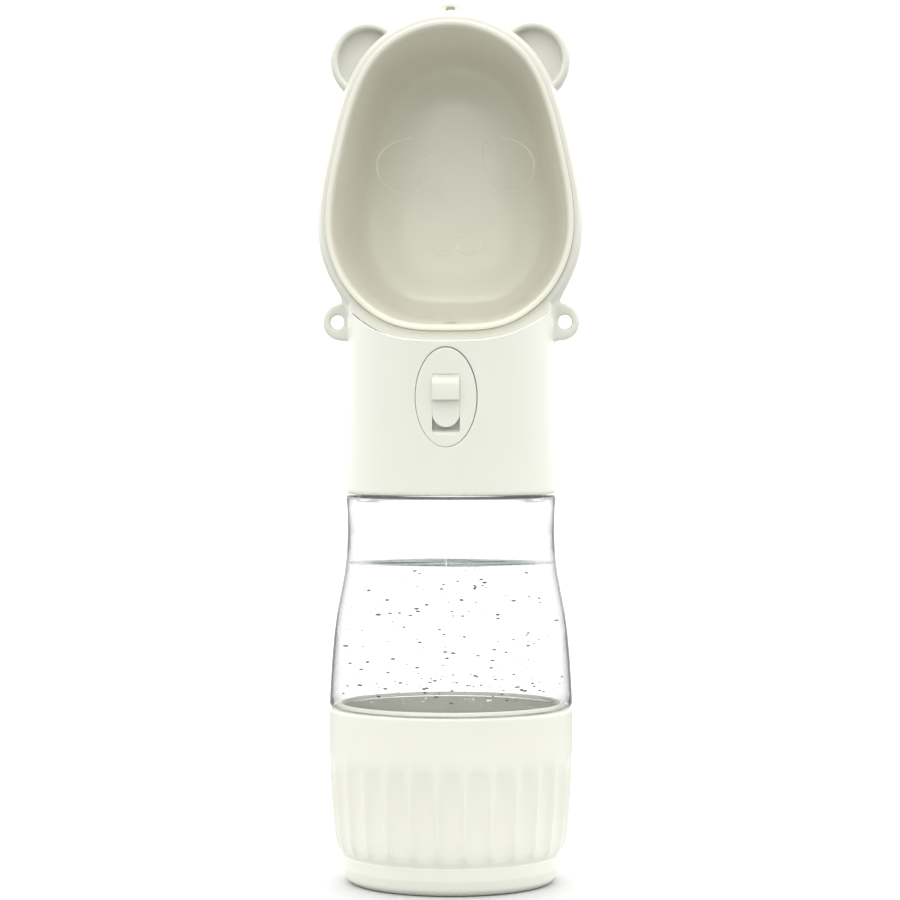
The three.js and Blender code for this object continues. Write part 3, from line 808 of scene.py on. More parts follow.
def ellipse_sd(x, z, cx, cz, rx, rz):
    """Close to the distance from an ellipse, near its edge."""
    X, Z = (x - cx) / rx, (z - cz) / rz
    k = np.sqrt(X * X + Z * Z) + 1e-9
    g = np.sqrt((X / rx) ** 2 + (Z / rz) ** 2) / k + 1e-9
    return (k - 1) / g


def slab(d2, y, y0, y1, rad):
    """A flat outline with distance d2, made y0..y1 thick, with rounded edges."""
    a = d2 + rad
    b = np.abs(y - (y0 + y1) / 2) - (y1 - y0) / 2 + rad
    return np.minimum(np.maximum(a, b), 0) + np.sqrt(np.maximum(a, 0) ** 2 + np.maximum(b, 0) ** 2) - rad


def egg_at(x, z):
    """Signed distance outside the rim line."""
    return sd_poly(x, z, EGG[::3])


def on_egg(x, z, d, n=4):
    """Moves (x, z) points to the given distance outside the rim line, holding x steady where it can."""
    x, z = np.array(x, float), np.array(z, float)
    for _ in range(n):
        e = egg_at(x, z) - d
        gx = (egg_at(x + 0.05, z) - egg_at(x - 0.05, z)) / 0.1
        gz = (egg_at(x, z + 0.05) - egg_at(x, z - 0.05)) / 0.1
        g = np.maximum(gx * gx + gz * gz, 1e-3)
        x -= e * gx / g
        z -= e * gz / g
    return x, z


def build_head():
    h = 0.6
    xs = np.arange(-39.3, 39.31, h)
    ys = np.arange(-31.4, 36.2, h)
    zs = np.arange(110.4, 256.2, h)
    X3, Z3 = np.meshgrid(xs, zs, indexing="ij")
    d2 = egg_at(X3, Z3)
    # housing, outside and inside, from its profile in (offset, y)
    prof_o = np.vstack([[(-70, -6.4), (2.3, -6.4), (3.0, -5.6), (3.28, -4.2)],
                        spline([(3.3, -2.5), (3.3, 6), (2.6, 14), (0.6, 21.5), (-2.6, 27.2), (-7.4, 31.6), (-13.0, 34.0), (-20.0, 34.75), (-27.0, 34.85)], 8),
                        [(-70, 34.85)]])
    prof_i = np.vstack([[(-70, -45), (0.95, -45)],
                        spline([(0.95, -5.5), (0.9, 4), (0.2, 12.5), (-1.4, 20.2), (-3.9, 26.2), (-8.2, 30.3), (-14.5, 32.2), (-22, 32.6)], 8), [(-70, 32.6)]])
    dd = np.arange(-42, 62, 0.25)
    D, Y = np.meshgrid(dd, ys, indexing="ij")
    To = sd_poly(D, Y, prof_o)
    Ti = sd_poly(D, Y, prof_i)
    F = np.empty((len(xs), len(ys), len(zs)), np.float32)
    A3 = np.abs(X3)
    ears2 = ellipse_sd(A3, Z3, 23.6, 236.8, 11.0, 11.4)
    ear_in2 = ellipse_sd(A3, Z3, 23.6, 236.8, 8.6, 9.0)
    lug2 = np.sqrt((A3 - 31.8) ** 2 + (Z3 - 161.7) ** 2) - 5.45
    lughole2 = np.sqrt((A3 - 33.0) ** 2 + (Z3 - 161.7) ** 2) - 2.0
    saddle = np.array([(-12.8, 244.0), (12.8, 244.0), (11.0, 250.5), (5.0, 250.85), (-5.0, 250.85), (-11.0, 250.5)], float)
    saddle2 = sd_poly(X3, Z3, saddle)
    arch2 = np.minimum(np.sqrt(X3 ** 2 + (Z3 - 249.5) ** 2) - 4.95, np.maximum(A3 - 4.95, np.maximum(Z3 - 249.5, 244 - Z3)))
    for j, y in enumerate(ys):
        o = np.interp(d2, dd, To[:, j])
        i = np.interp(d2, dd, Ti[:, j])
        rad = np.sqrt(X3 ** 2 + y * y)
        tube = rad - 30.0
        neck = np.maximum(tube, np.maximum(Z3 - 181, 111.9 - Z3))
        edge = 0.4                                            # rounded lower edge of the neck
        a, b = tube + edge, 111.9 - Z3 + edge
        neck = np.maximum(neck, np.where((a > 0) & (b > 0), np.sqrt(np.maximum(a, 0) ** 2 + np.maximum(b, 0) ** 2) - edge, -1e3))
        neck = np.maximum(neck, np.minimum(LEDGE_D - d2, RIM_Y + 0.03 - y))          # the bowl stands back
        core = np.maximum(rad - 27.8, Z3 - 180)
        core = np.maximum(core, np.minimum(LEDGE_D + 1.15 - d2, -6.9 - y))          # a wall stays under the ledge
        k = 0.4 + 4.1 * float(smooth01((y - RIM_Y) / 7.0))
        s = smin(o, neck, k)
        e = slab(ears2, y, -7.5, 1.5, 1.5)
        e = smax(e, -slab(ear_in2, y, -30, -3.6, 0.6), 0.9)
        s = smin(s, e, 1.6)
        l = smax(slab(lug2, y, -1.6, 1.6, 0.9), -lughole2, 0.7)
        s = smin(s, l, 1.6)
        t = smin(slab(saddle2, y, -4.0, 2.0, 0.9), slab(arch2, y, -3.8, 1.8, 1.0), 0.8)
        t = smax(t, -np.maximum(A3 - 1.2, np.abs(Z3 - 251.8) - 0.45), 0.3)
        s = smin(s, t, 1.2)
        s = np.minimum(np.maximum(s, RIM_Y + 0.03 - y), neck)                        # nothing but the neck is in front
        s = smax(s, -np.minimum(i, core), 0.35)
        F[:, j, :] = s
    V, Q = nets(F, np.array([xs[0], ys[0], zs[0]]), h)
    # true up the round neck
    r = np.hypot(V[:, 0], V[:, 1])
    on = (np.abs(r - 30.0) < 0.12) & (V[:, 2] < 154) & (V[:, 2] > 112.5)
    V[on, :2] *= (30.0 / r[on])[:, None]
    # cut away everything in front of the bowl, up to a line just outside the ledge
    EDGE = 0.34

    def value0(P):
        return np.maximum(egg_at(P[:, 0], P[:, 2]) - LEDGE_D - EDGE, P[:, 1] - RIM_Y + 0.1)

    def on_neck(P):
        out = P.copy()
        r = np.hypot(P[:, 0], P[:, 1])
        m = (r > 29.3) & (P[:, 1] < RIM_Y - 0.15)
        x, z = on_egg(P[m, 0], P[m, 2], LEDGE_D + EDGE)
        out[m, 0], out[m, 2] = x, z
        out[m, 1] = -np.sqrt(np.maximum(30.0 ** 2 - x ** 2, 1))
        return out
    V, Fc, edges = clip(V, Q, value0, on_neck)
    front = [e for e in edges if min(np.hypot(V[e[0], 0], V[e[0], 1]), np.hypot(V[e[1], 0], V[e[1], 1])) > 29.4 and V[e[0], 1] < RIM_Y + 0.2]

    def lip(d, R):
        def go(P):
            x, z = on_egg(P[:, 0], P[:, 2], LEDGE_D + d)
            return np.stack([x, np.minimum(-np.sqrt(np.maximum(R * R - x * x, 1)), RIM_Y + 0.05), z], 1)
        return go

    def ledge(t):
        def go(P):
            Q = lip(0.0, 29.66)(P)
            Q[:, 1] = Q[:, 1] + (RIM_Y + 0.2 - Q[:, 1]) * t
            return Q
        return go
    V, Fc = skirt(V, Fc, front, [lip(0.22, 29.98), lip(0.10, 29.90), lip(0.02, 29.78), lip(0.0, 29.66), ledge(0.04), ledge(0.3), ledge(0.65), ledge(1.0)])

    # cut the button's opening through the front wall
    def value(P):
        d = ellipse_sd(P[:, 0], P[:, 2], 0, BTN_Z, BTN_RX + 0.3 + 0.22, BTN_RZ + 0.3 + 0.22)
        return np.where((P[:, 1] < -15) & (P[:, 2] < 154.3), d, 5.0)

    def on_ellipse(P, grow=0.22):
        a = np.arctan2((P[:, 2] - BTN_Z) / BTN_RZ, P[:, 0] / BTN_RX)
        out = P.copy()
        out[:, 0] = (BTN_RX + 0.3 + grow) * np.cos(a)
        out[:, 2] = BTN_Z + (BTN_RZ + 0.3 + grow) * np.sin(a)
        r = np.hypot(P[:, 0], P[:, 1])
        R = np.where(r > 28.9, 30.0, 27.8)
        out[:, 1] = -np.sqrt(np.maximum(R ** 2 - out[:, 0] ** 2, 1))
        return out
    V, Fc, edges = clip(V, Fc, value, on_ellipse)
    front_edges = [e for e in edges if np.hypot(V[e[0], 0], V[e[0], 1]) > 28.9]

    def step(grow, back):
        def go(P):
            a = np.arctan2((P[:, 2] - BTN_Z) / (BTN_RZ + 0.52), P[:, 0] / (BTN_RX + 0.52))
            out = P.copy()
            out[:, 0] = (BTN_RX + 0.3 + grow) * np.cos(a)
            out[:, 2] = BTN_Z + (BTN_RZ + 0.3 + grow) * np.sin(a)
            out[:, 1] = -np.sqrt(30.0 ** 2 - out[:, 0] ** 2) + back
            return out
        return go
    V, Fc = skirt(V, Fc, front_edges, [step(0.10, 0.05), step(0.02, 0.14), step(0.0, 0.3), step(0.0, 1.0), step(0.0, 2.3)])

    # lip round the bowl's mouth, swept so that its edges are crisp
    lip_p = rounded([(1.35, -3.0), (0.81, -5.5, 0.3), (0.81, RIM_Y, 0.10), (2.15, RIM_Y, 0.5), (3.32, -7.3, 2.2), (3.32, -2.4), (2.4, -2.0)], 7)
    lip_p = dense(lip_p, 0.45)
    v2, f2 = egg_sweep(lip_p, 360)
    f2 = [tuple(reversed(q)) for q in f2]
    v, f = join_parts([(V, Fc), (v2, f2)])
    return make("head_housing", v, f, "head", CREAM, ["head_shell"], "cream_plastic", 50)


build_head()


# --------------------------------------------------------------------- bowl liner
LIN_FLOOR = 30.2
LINER_IN = spline([(-27.0, LIN_FLOOR), (-21.0, 30.17), (-15.5, 29.85), (-10.8, 28.7), (-7.2, 26.2), (-5.1, 21.5), (-3.7, 14.5), (-2.6, 6.0),
                   (-1.75, -2.5), (-1.25, -8.4)], 12)


def liner_depth(d):
    """Depth (y) of the bowl's inside at a distance d from the rim line."""
    return np.interp(d, LINER_IN[:, 0], LINER_IN[:, 1])


def build_liner():
    rim = rounded([(-1.25, -8.4), (-0.75, -10.5, 0.85), (0.76, -10.5, 0.42), (0.76, -6.0, 0.3), (0.2, -2.0), (-0.9, 4.0)], 9)
    outer = spline([(-0.9, 4.0), (-1.7, 12.5), (-3.3, 20.4), (-5.7, 26.2), (-9.2, 30.0), (-14.6, 31.6), (-17.0, 31.8)], 8)
    prof = np.vstack([dense(LINER_IN[LINER_IN[:, 0] > -15.0][:-1], 0.55), dense(rim[:-1], 0.45), dense(outer, 1.5)])
    n = 720
    V, F = egg_sweep(prof, n)
    # floor in front and behind, as shrinking rings
    C, N = EGG, EGG_N
    mid = np.array([0, 199.0])
    parts = [(V, F)]
    for d, y, flip, K in ((prof[0][0], LIN_FLOOR, True, 16), (-17.0, 31.8, False, 8)):
        ring0 = np.stack([C[:, 0] + d * N[:, 0], C[:, 1] + d * N[:, 1]], 1)
        vs, fs = [], []
        for k in range(K):
            t = 1 - k / K
            p = mid + (ring0 - mid) * t
            yy = liner_depth(egg_at(p[:, 0], p[:, 1])) if flip and k else np.full(n, prof[0][1] if flip else y)
            vs.append(np.stack([p[:, 0], yy, p[:, 1]], 1))
        vs.append(np.array([[mid[0], y, mid[1]]]))
        for k in range(K - 1):
            for i in range(n):
                j = (i + 1) % n
                fs.append((k * n + i, (k + 1) * n + i, (k + 1) * n + j, k * n + j))
        for i in range(n):
            fs.append(((K - 1) * n + i, K * n, (K - 1) * n + (i + 1) % n))
        if not flip:
            fs = [tuple(reversed(q)) for q in fs]
        parts.append((np.vstack(vs), fs))
    v, f = join_parts(parts)

    # outlet hole through the lower wall
    def value(P):
        r = np.hypot(P[:, 0], P[:, 1] - OUTLET_Y)
        return np.where(P[:, 2] < 170, r - 1.8, 5.0)

    def snap(P):
        a = np.arctan2(P[:, 1] - OUTLET_Y, P[:, 0])
        out = P.copy()
        out[:, 0] = 1.8 * np.cos(a)
        out[:, 1] = OUTLET_Y + 1.8 * np.sin(a)
        return out
    v, f, edges = clip(v, f, value, snap)
    top = [e for e in edges if v[e[0], 2] > 162.2]

    def down(dz):
        def go(P):
            out = P.copy()
            out[:, 2] -= dz
            return out
        return go
    v, f = skirt(v, f, top, [down(0.4), down(1.6)])
    # the liner is drawn in the lighter, warmer copy of the cream, painted light
    o = make("bowl_liner_dish", v, f, "head", BOWL_PAINTED_LIGHT, ["bowl_liner"], "cream_plastic", 60)
    bm = bmesh.new()
    bm.from_mesh(o.data)
    bmesh.ops.remove_doubles(bm, verts=bm.verts, dist=2e-6)
    bmesh.ops.recalc_face_normals(bm, faces=bm.faces)
    bm.to_mesh(o.data)
    bm.free()
    return o


build_liner()


STEP = [(-0.52, -0.04), (-0.42, 0.02), (-0.06, 0.24), (0.0, 0.255), (0.05, 0.22), (0.09, 0.10), (0.12, -0.04)]


def bank(points, side, closed=False, height=1.0, taper=0.15, weight=None):
    """A fine raised line along (x, z) points on the bowl's floor, sloping on one side."""
    P = np.asarray(points, float)
    t = np.roll(P, -1, 0) - np.roll(P, 1, 0) if closed else np.gradient(P, axis=0)
    t /= np.linalg.norm(t, axis=1)[:, None]
    nrm = np.stack([-t[:, 1], t[:, 0]], 1) * side
    n = len(P)
    s = np.linspace(0, 1, n)
    fade = np.ones(n) if closed else smooth01(np.minimum(s, 1 - s) / taper)
    if weight is not None:
        fade = fade * weight(nrm)
    vs, fs = [], []
    for off, up in STEP:
        p = P - nrm * off
        y = liner_depth(egg_at(p[:, 0], p[:, 1])) - (up * height * fade - 0.03 * (1 - fade))
        vs.append(np.stack([p[:, 0], y, p[:, 1]], 1))
    m = n if closed else n - 1
    for k in range(len(vs) - 1):
        for i in range(m):
            j = (i + 1) % n
            fs.append((k * n + i, k * n + j, (k + 1) * n + j, (k + 1) * n + i))
    return np.vstack(vs), fs


def build_relief():
    """Two drooping eye patches and a small muzzle, sunk a little into the bowl's back."""
    parts = []
    a = np.linspace(0, 2 * math.pi, 160, endpoint=False)
    for s in (-1, 1):
        # drooping oval: narrow end up and inwards
        x = 8.4 * np.cos(a)
        z = 7.3 * np.sin(a) * (1 - 0.08 * np.cos(a))
        tilt = math.radians(42)
        X = x * math.cos(tilt) - z * math.sin(tilt)
        Z = x * math.sin(tilt) + z * math.cos(tilt)
        pts = np.stack([s * (15.3 - X), 210.4 + Z], 1)
        out_x = s
        parts.append(bank(pts, s, closed=True, height=1.0, weight=lambda n: np.clip(0.52 - 0.42 * n[:, 1] + 0.22 * n[:, 0] * out_x, 0.12, 1.0)))
        # lid line over the patch
        lid = spline([(-15.9, 218.0), (-13.4, 218.7), (-10.9, 218.2), (-8.8, 216.9), (-7.6, 214.8), (-8.2, 212.6), (-9.9, 211.0)], 8)
        pts = np.stack([-s * lid[:, 0], lid[:, 1]], 1)
        parts.append(bank(pts, s, height=0.8, taper=0.25))
        # half of the muzzle
        c = np.linspace(math.radians(168), math.radians(352), 46)
        pts = np.stack([s * (3.75 - 3.6 * np.cos(c)) + 0.3, 186.5 + 3.1 * np.sin(c)], 1)
        parts.append(bank(pts, s, height=1.0))
    c = np.linspace(math.radians(200), math.radians(340), 24)
    pts = np.stack([0.3 + 1.5 * np.cos(c), 189.6 + 1.3 * np.sin(c)], 1)
    parts.append(bank(pts, -1, height=0.8))
    v, f = join_parts(parts)
    # the raised lines take the paler plastic, a painted highlight
    o = make("bowl_relief", v, f, "head", RELIEF_PAINTED_HIGHLIGHT, (), "cream_plastic", 75)
    # every face looks to the front
    bm = bmesh.new()
    bm.from_mesh(o.data)
    bm.normal_update()
    bmesh.ops.reverse_faces(bm, faces=[q for q in bm.faces if q.normal.y > 0])
    bm.to_mesh(o.data)
    bm.free()


build_relief()


# ------------------------------------------------------------------- inner collar
def build_collar():
    thread = screw(115.4, 0.95, 4.0, 1.0, 2.0, 1.0)
    prof = rounded([(3.4, 123.0), (3.4, 121.0), (24.4, 121.0, 0.6), (25.0, 120.4, 0.4), (25.0, 111.9, 0.4), (27.3, 111.9, 0.5), (27.3, 123.0, 0.8)], 4)
    prof = dense(prof, 0.45)

    def move(th, r, h):
        if abs(r - 25.0) < 0.03 and h < 120.3:
            return r - thread(th, h)
        return np.full(len(th), r)
    v, f = lathe(prof, 160, move=move, closed=True)
    v, f = outward(v, f)
    v2, f2 = lathe(rounded([(0, 121.2), (3.3, 121.2, 0.3), (3.3, 122.8, 0.3), (0, 122.8)], 4), 48)
    v2, f2 = outward(v2, f2)
    v, f = join_parts([(v, f), (v2, f2)])
    make("threaded_collar", v, f, "head", INNER, ["inner_collar"], "inner_plastic", 45)


build_collar()


def turned_piece(name, prof, body, mat, nodes, slot, seg=64, axis="z", centre=(0, 0), closed=True, n=4):
    v, f = lathe(rounded(prof, n), seg, axis=axis, centre=centre, closed=closed)
    make(name, *outward(v, f), body, mat, nodes, slot, 45)


turned_piece("deck_seal_ring", [(21.9, 119.9), (23.65, 119.9, 0.25), (23.65, 120.7, 0.25), (21.9, 120.7, 0.25)], "head", SILICONE, ["deck_seal"], "silicone", 128)
turned_piece("outlet_hose_tube", [(2.5, 140.8), (3.6, 140.8, 0.3), (3.6, 156.2, 0.3), (2.5, 156.2, 0.2)], "head", SILICONE, ["outlet_hose"], "silicone", 48, centre=(0, OUTLET_Y))
turned_piece("bowl_outlet", [(1.3, 151.5), (2.2, 151.5, 0.2), (2.2, 156.8, 0.3), (4.4, 157.4, 0.2), (4.4, 159.0, 0.3), (1.3, 159.0, 0.2)], "head", INNER, ["outlet_nozzle"], "inner_plastic", 48, centre=(0, OUTLET_Y))
turned_piece("poppet_washer", [(2.3, 4.2), (4.4, 4.2, 0.2), (4.4, 4.85, 0.2), (2.3, 4.85)], "button", SILICONE, ["poppet_seal"], "silicone", 48, axis="y", centre=(0, 132.0))
turned_piece("stem_seal", [(2.3, -14.7), (3.6, -14.7, 0.4), (3.6, -13.5, 0.4), (2.3, -13.5)], "head", SILICONE, ["stem_ring"], "silicone", 48, axis="y", centre=(0, 132.0))
turned_piece("push_rod", [(0, -25.5), (2.6, -25.5, 0.3), (2.6, -24.3, 0.2), (2.0, -23.9, 0.3), (2.0, 5.1, 0.2), (4.4, 5.1, 0.2), (4.4, 6.9, 0.3), (2.0, 6.9, 0.3), (2.0, 10.2, 0.5), (0, 10.2)],
             "button", INNER, ["valve_stem"], "inner_plastic", 48, axis="y", centre=(0, 132.0), closed=False)
turned_piece("valve_end_cap", [(0, 15.5), (5.2, 15.5, 0.3), (5.2, 18.4, 0.2), (7.5, 18.4, 0.2), (7.5, 20.6, 0.6), (0, 20.6)],
             "head", INNER, ["valve_cap"], "inner_plastic", 64, axis="y", centre=(0, 132.0), closed=False)

# coil spring
a = np.linspace(0, 1, 220)
ang = a * 3.75 * 2 * math.pi
cx, cy, cz = 3.5 * np.cos(ang), 7.7 + 6.9 * a, 132.0 + 3.5 * np.sin(ang)
path = np.stack([cx, cy, cz], 1)
tan = np.gradient(path, axis=0)
tan /= np.linalg.norm(tan, axis=1)[:, None]
rad = np.stack([np.cos(ang), 0 * ang, np.sin(ang)], 1)
bi = np.cross(tan, rad)
bi /= np.linalg.norm(bi, axis=1)[:, None]
vs, fs = [], []
for k in range(10):
    t = 2 * math.pi * k / 10
    vs.append(path + 0.37 * (math.cos(t) * rad + math.sin(t) * bi))
V = np.stack(vs, 1).reshape(-1, 3)
for i in range(len(path) - 1):
    for k in range(10):
        j = (k + 1) % 10
        fs.append((i * 10 + k, i * 10 + j, (i + 1) * 10 + j, (i + 1) * 10 + k))
fs += [tuple(range(10)), tuple(range((len(path) - 1) * 10, len(path) * 10))]
o = make("coil_spring", V, fs, "head", STEEL, ["return_spring"], "steel", 45)


# --------------------------------------------------------------- button and lock
def outline_offset(P, d):
    t = np.roll(P, -1, 0) - np.roll(P, 1, 0)
    t /= np.linalg.norm(t, axis=1)[:, None]
    return P + np.stack([t[:, 1], -t[:, 0]], 1) * d


def stadium(w, top, bottom, n=24, rtop=0.6):
    """Outline in (x, z), counter-clockwise: straight sides, round lower end."""
    pts = []
    cz = bottom + w
    for k in range(n + 1):
        a = math.pi + math.pi * k / n
        pts.append((w * math.cos(a), cz + w * math.sin(a)))
    pts += [(w, cz + (top - rtop - cz) * k / 10) for k in range(1, 11)]
    for k in range(1, 7):
        a = math.pi / 2 * k / 6
        pts.append((w - rtop + rtop * math.cos(a), top - rtop + rtop * math.sin(a)))
    pts += [(w - rtop - (2 * w - 2 * rtop) * k / 8, top) for k in range(1, 8)]
    for k in range(0, 7):
        a = math.pi / 2 + math.pi / 2 * k / 6
        pts.append((-w + rtop + rtop * math.cos(a), top - rtop + rtop * math.sin(a)))
    pts += [(-w, top - rtop - (top - rtop - cz) * k / 10) for k in range(1, 10)]
    return np.array(pts)


def slot_outline(w, top, bottom, r_top=0.5, r_low=0.5):
    """Outline in (x, z), counter-clockwise: a rectangle with rounded corners."""
    pts = []
    for cx, cz, r, a0 in ((w - r_low, bottom + r_low, r_low, -90), (w - r_top, top - r_top, r_top, 0),
                          (r_top - w, top - r_top, r_top, 90), (r_low - w, bottom + r_low, r_low, 180)):
        for k in range(7):
            t = math.radians(a0 + 15 * k)
            pts.append((cx + r * math.cos(t), cz + r * math.sin(t)))
    P = np.array(pts)
    return dense(np.vstack([P, P[:1]]), 0.6)[:-1]


POCKET = slot_outline(3.86, 145.9, 129.1, r_low=1.4)


def build_button():
    # curved face: rings from the middle to the edge, then the rounded edge and wall
    n = 192
    a = np.arange(n) / n * 2 * math.pi
    vs, rows = [], []

    def ring(k, back):
        x = -0.04 + (BTN_RX + 0.14) * k * np.cos(a)
        z = BTN_Z - 0.07 + (BTN_RZ + 0.14) * k * np.sin(a)
        y = -np.sqrt(30.0 ** 2 - x ** 2) + back
        return np.stack([x, y, z], 1)
    ks = list(np.linspace(0.04, 0.98, 27))
    rings = [ring(k, 0) for k in ks]
    for t in np.linspace(0, math.pi / 2, 6)[1:]:
        rings.append(ring(0.98 + 0.02 * math.sin(t), 0.17 * (1 - math.cos(t))))
    rings += [ring(1.0, b) for b in (0.9, 2.2, 3.9)]
    rings += [ring(0.2, 3.9)]
    V = np.vstack([[[0, -30.0, BTN_Z]]] + rings)
    F = [(0, 1 + (i + 1) % n, 1 + i) for i in range(n)]
    for r in range(len(rings) - 1):
        for i in range(n):
            j = (i + 1) % n
            F.append((1 + r * n + i, 1 + r * n + j, 1 + (r + 1) * n + j, 1 + (r + 1) * n + i))
    grow = 0.05
    slot_o = outline_offset(POCKET, grow)

    def value(P):
        return np.where(P[:, 1] < -28.2, sd_poly(P[:, 0], P[:, 2], slot_o), 5.0)

    def snap(P):
        # nearest point of the outline
        best = np.full(len(P), 1e9)
        out = P.copy()
        m = len(slot_o)
        q = P[:, [0, 2]]
        for i in range(m):
            p0, p1 = slot_o[i], slot_o[(i + 1) % m]
            e = p1 - p0
            t = np.clip(((q - p0) @ e) / (e @ e), 0, 1)
            c = p0 + t[:, None] * e
            d = ((q - c) ** 2).sum(1)
            hit = d < best
            best[hit] = d[hit]
            out[hit, 0] = c[hit, 0]
            out[hit, 2] = c[hit, 1]
        out[:, 1] = -np.sqrt(30.0 ** 2 - out[:, 0] ** 2)
        return out
    V, F, edges = clip(V, F, value, snap)

    def inset(d, back):
        def go(P):
            out = P.copy()
            q = P[:, [0, 2]]
            # move towards the pocket's middle line
            cz = np.clip(q[:, 1], 132.2, 142.0)
            c = np.stack([np.zeros(len(q)), cz], 1)
            w = q - c
            k = np.linalg.norm(w, axis=1)
            s = (k - d) / np.maximum(k, 1e-6)
            out[:, 0] = c[:, 0] + w[:, 0] * s
            out[:, 2] = c[:, 1] + w[:, 1] * s
            out[:, 1] = P[:, 1] + back
            return out
        return go
    V, F = skirt(V, F, edges, [inset(0.03, 0.012), inset(0.05, 0.05), inset(0.05, 1.55)])
    # pocket floor, with a slope that runs out at its lower end
    xs = np.linspace(-3.9, 3.9, 24)
    zs = np.r_[np.linspace(129.0, 132.0, 40), np.linspace(132.3, 146.0, 20)]
    X, Z = np.meshgrid(xs, zs, indexing="ij")
    out_y = -np.sqrt(900 - X ** 2) + 0.03
    deep = -28.45 + 0.9 * smooth01((134.2 - Z) / 1.0)
    Y = out_y + (deep - out_y) * (0.22 + 0.78 * smooth01((Z - 129.2) / 1.9))
    G = np.stack([X, Y, Z], -1).reshape(-1, 3)
    FF = []
    for i in range(23):
        for j in range(59):
            k = i * 60 + j
            FF.append((k, k + 60, k + 61, k + 1))
    v, f = join_parts([(V, F), (G, FF)])
    # flange behind
    fl = []
    rr = [(0.55, 27.2), (1.0, 27.2), (1.0, 25.9), (0.55, 25.9)]
    for k, R in rr:
        x = 10.2 * k * np.cos(a)
        z = np.minimum(BTN_Z + 15.0 * k * np.sin(a), 153.8)
        fl.append(np.stack([x, -np.sqrt(R ** 2 - x ** 2), z], 1))
    FV = np.vstack(fl)
    FFs = []
    for r in range(4):
        for i in range(n):
            j = (i + 1) % n
            r2 = (r + 1) % 4
            FFs.append((r * n + i, r * n + j, r2 * n + j, r2 * n + i))
    v, f = join_parts([(v, f), (FV, FFs)])
    o = make("push_button_plate", v, f, "button", BUTTON, ["push_button"], "cream_plastic", 45)
    bm = bmesh.new()
    bm.from_mesh(o.data)
    bmesh.ops.remove_doubles(bm, verts=bm.verts, dist=1e-6)
    bmesh.ops.recalc_face_normals(bm, faces=bm.faces)
    bm.to_mesh(o.data)
    bm.free()


build_button()


def prism(outline, y_front, y_back, bevel, n=5):
    """Outline in (x, z) extruded along Y with a rounded front edge."""
    m = len(outline)
    rings = []
    for t in np.linspace(0, math.pi / 2, n + 1):
        P = outline_offset(outline, -bevel * (1 - math.sin(t)))
        rings.append(np.stack([P[:, 0], np.full(m, y_front + bevel * (1 - math.cos(t))), P[:, 1]], 1))
    rings.append(np.stack([outline[:, 0], np.full(m, y_back), outline[:, 1]], 1))
    V = np.vstack(rings)
    F = []
    for r in range(len(rings) - 1):
        for i in range(m):
            j = (i + 1) % m
            F.append((r * m + i, r * m + j, (r + 1) * m + j, (r + 1) * m + i))
    F.append(tuple(range(m)))
    F.append(tuple(range((len(rings) - 1) * m, len(rings) * m))[::-1])
    return V, F


def rounded_rect(w0, w1, z0, z1, r, n=5):
    pts = []
    for cx, cz, a0 in ((w1 - r, z0 + r, -math.pi / 2), (w1 - r, z1 - r, 0), (w0 + r, z1 - r, math.pi / 2), (w0 + r, z0 + r, math.pi)):
        for k in range(n + 1):
            t = a0 + math.pi / 2 * k / n
            pts.append((cx + r * math.cos(t), cz + r * math.sin(t)))
    # fill the straight runs
    P = np.array(pts)
    return dense(np.vstack([P, P[:1]]), 0.6)[:-1]


def build_lock():
    tongue = stadium(3.84, 145.85, 131.1, rtop=0.5)
    parts = [prism(tongue, -29.86, -29.42, 0.07), prism(stadium(3.6, 145.6, 134.6), -29.45, -28.75, 0.02)]
    # raised grip: a crisp edge below, a sloping shoulder on top
    prof = rounded([(-29.3, 138.7), (-31.5, 138.7, 0.16), (-31.36, 143.2, 0.5), (-30.95, 144.75, 0.35), (-29.3, 144.8)], 5)
    m = len(prof)
    rings = []
    mid = np.array([-29.3, 141.7])
    for x, k in ((-3.84, 0.93), (-3.80, 0.972), (-3.70, 0.994), (-3.5, 1.0), (3.5, 1.0), (3.70, 0.994), (3.80, 0.972), (3.84, 0.93)):
        q = mid + (prof - mid) * k
        rings.append(np.stack([np.full(m, x), q[:, 0], q[:, 1]], 1))
    V = np.vstack(rings)
    F = [(r * m + i, r * m + (i + 1) % m, (r + 1) * m + (i + 1) % m, (r + 1) * m + i) for r in range(len(rings) - 1) for i in range(m)]
    F += [tuple(range(m))[::-1], tuple(range((len(rings) - 1) * m, len(rings) * m))]
    parts.append((V, F))
    post = rounded_rect(-1.45, 1.45, 140.0, 143.6, 0.3)
    parts.append(prism(post, -29.0, -24.2, 0.1))
    v, f = join_parts(parts)
    o = make("lock_slider_body", v, f, "lock", BUTTON, ["lock_slider"], "cream_plastic", 45)
    bm = bmesh.new()
    bm.from_mesh(o.data)
    bmesh.ops.recalc_face_normals(bm, faces=bm.faces)
    bm.to_mesh(o.data)
    bm.free()


build_lock()

# ------------------------------------------------ carried-over nodes: materials only
for name, mat in {
    "valve_body": INNER, "valve_gasket": SILICONE, "valve_screw_1": STEEL, "valve_screw_2": STEEL, "valve_screw_3": STEEL,
    "valve_screw_4": STEEL, "lock_clip": INNER, "button_bridge": INNER, "bridge_screw_1": STEEL, "bridge_screw_2": STEEL,
}.items():
    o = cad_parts[name]
    if not o.material_slots:
        o.data.materials.append(mat)
    for s in o.material_slots:
        s.material = mat

# ------------------------------------------------------------------ stage and light
def plane(name, size, z, mat):
    me = bpy.data.meshes.new(name)
    s = size
    me.from_pydata([(-s, -s, z), (s, -s, z), (s, s, z), (-s, s, z)], [], [(0, 1, 2, 3)])
    me.materials.append(mat)
    o = bpy.data.objects.new(name, me)
    bpy.context.scene.collection.objects.link(o)
    return o


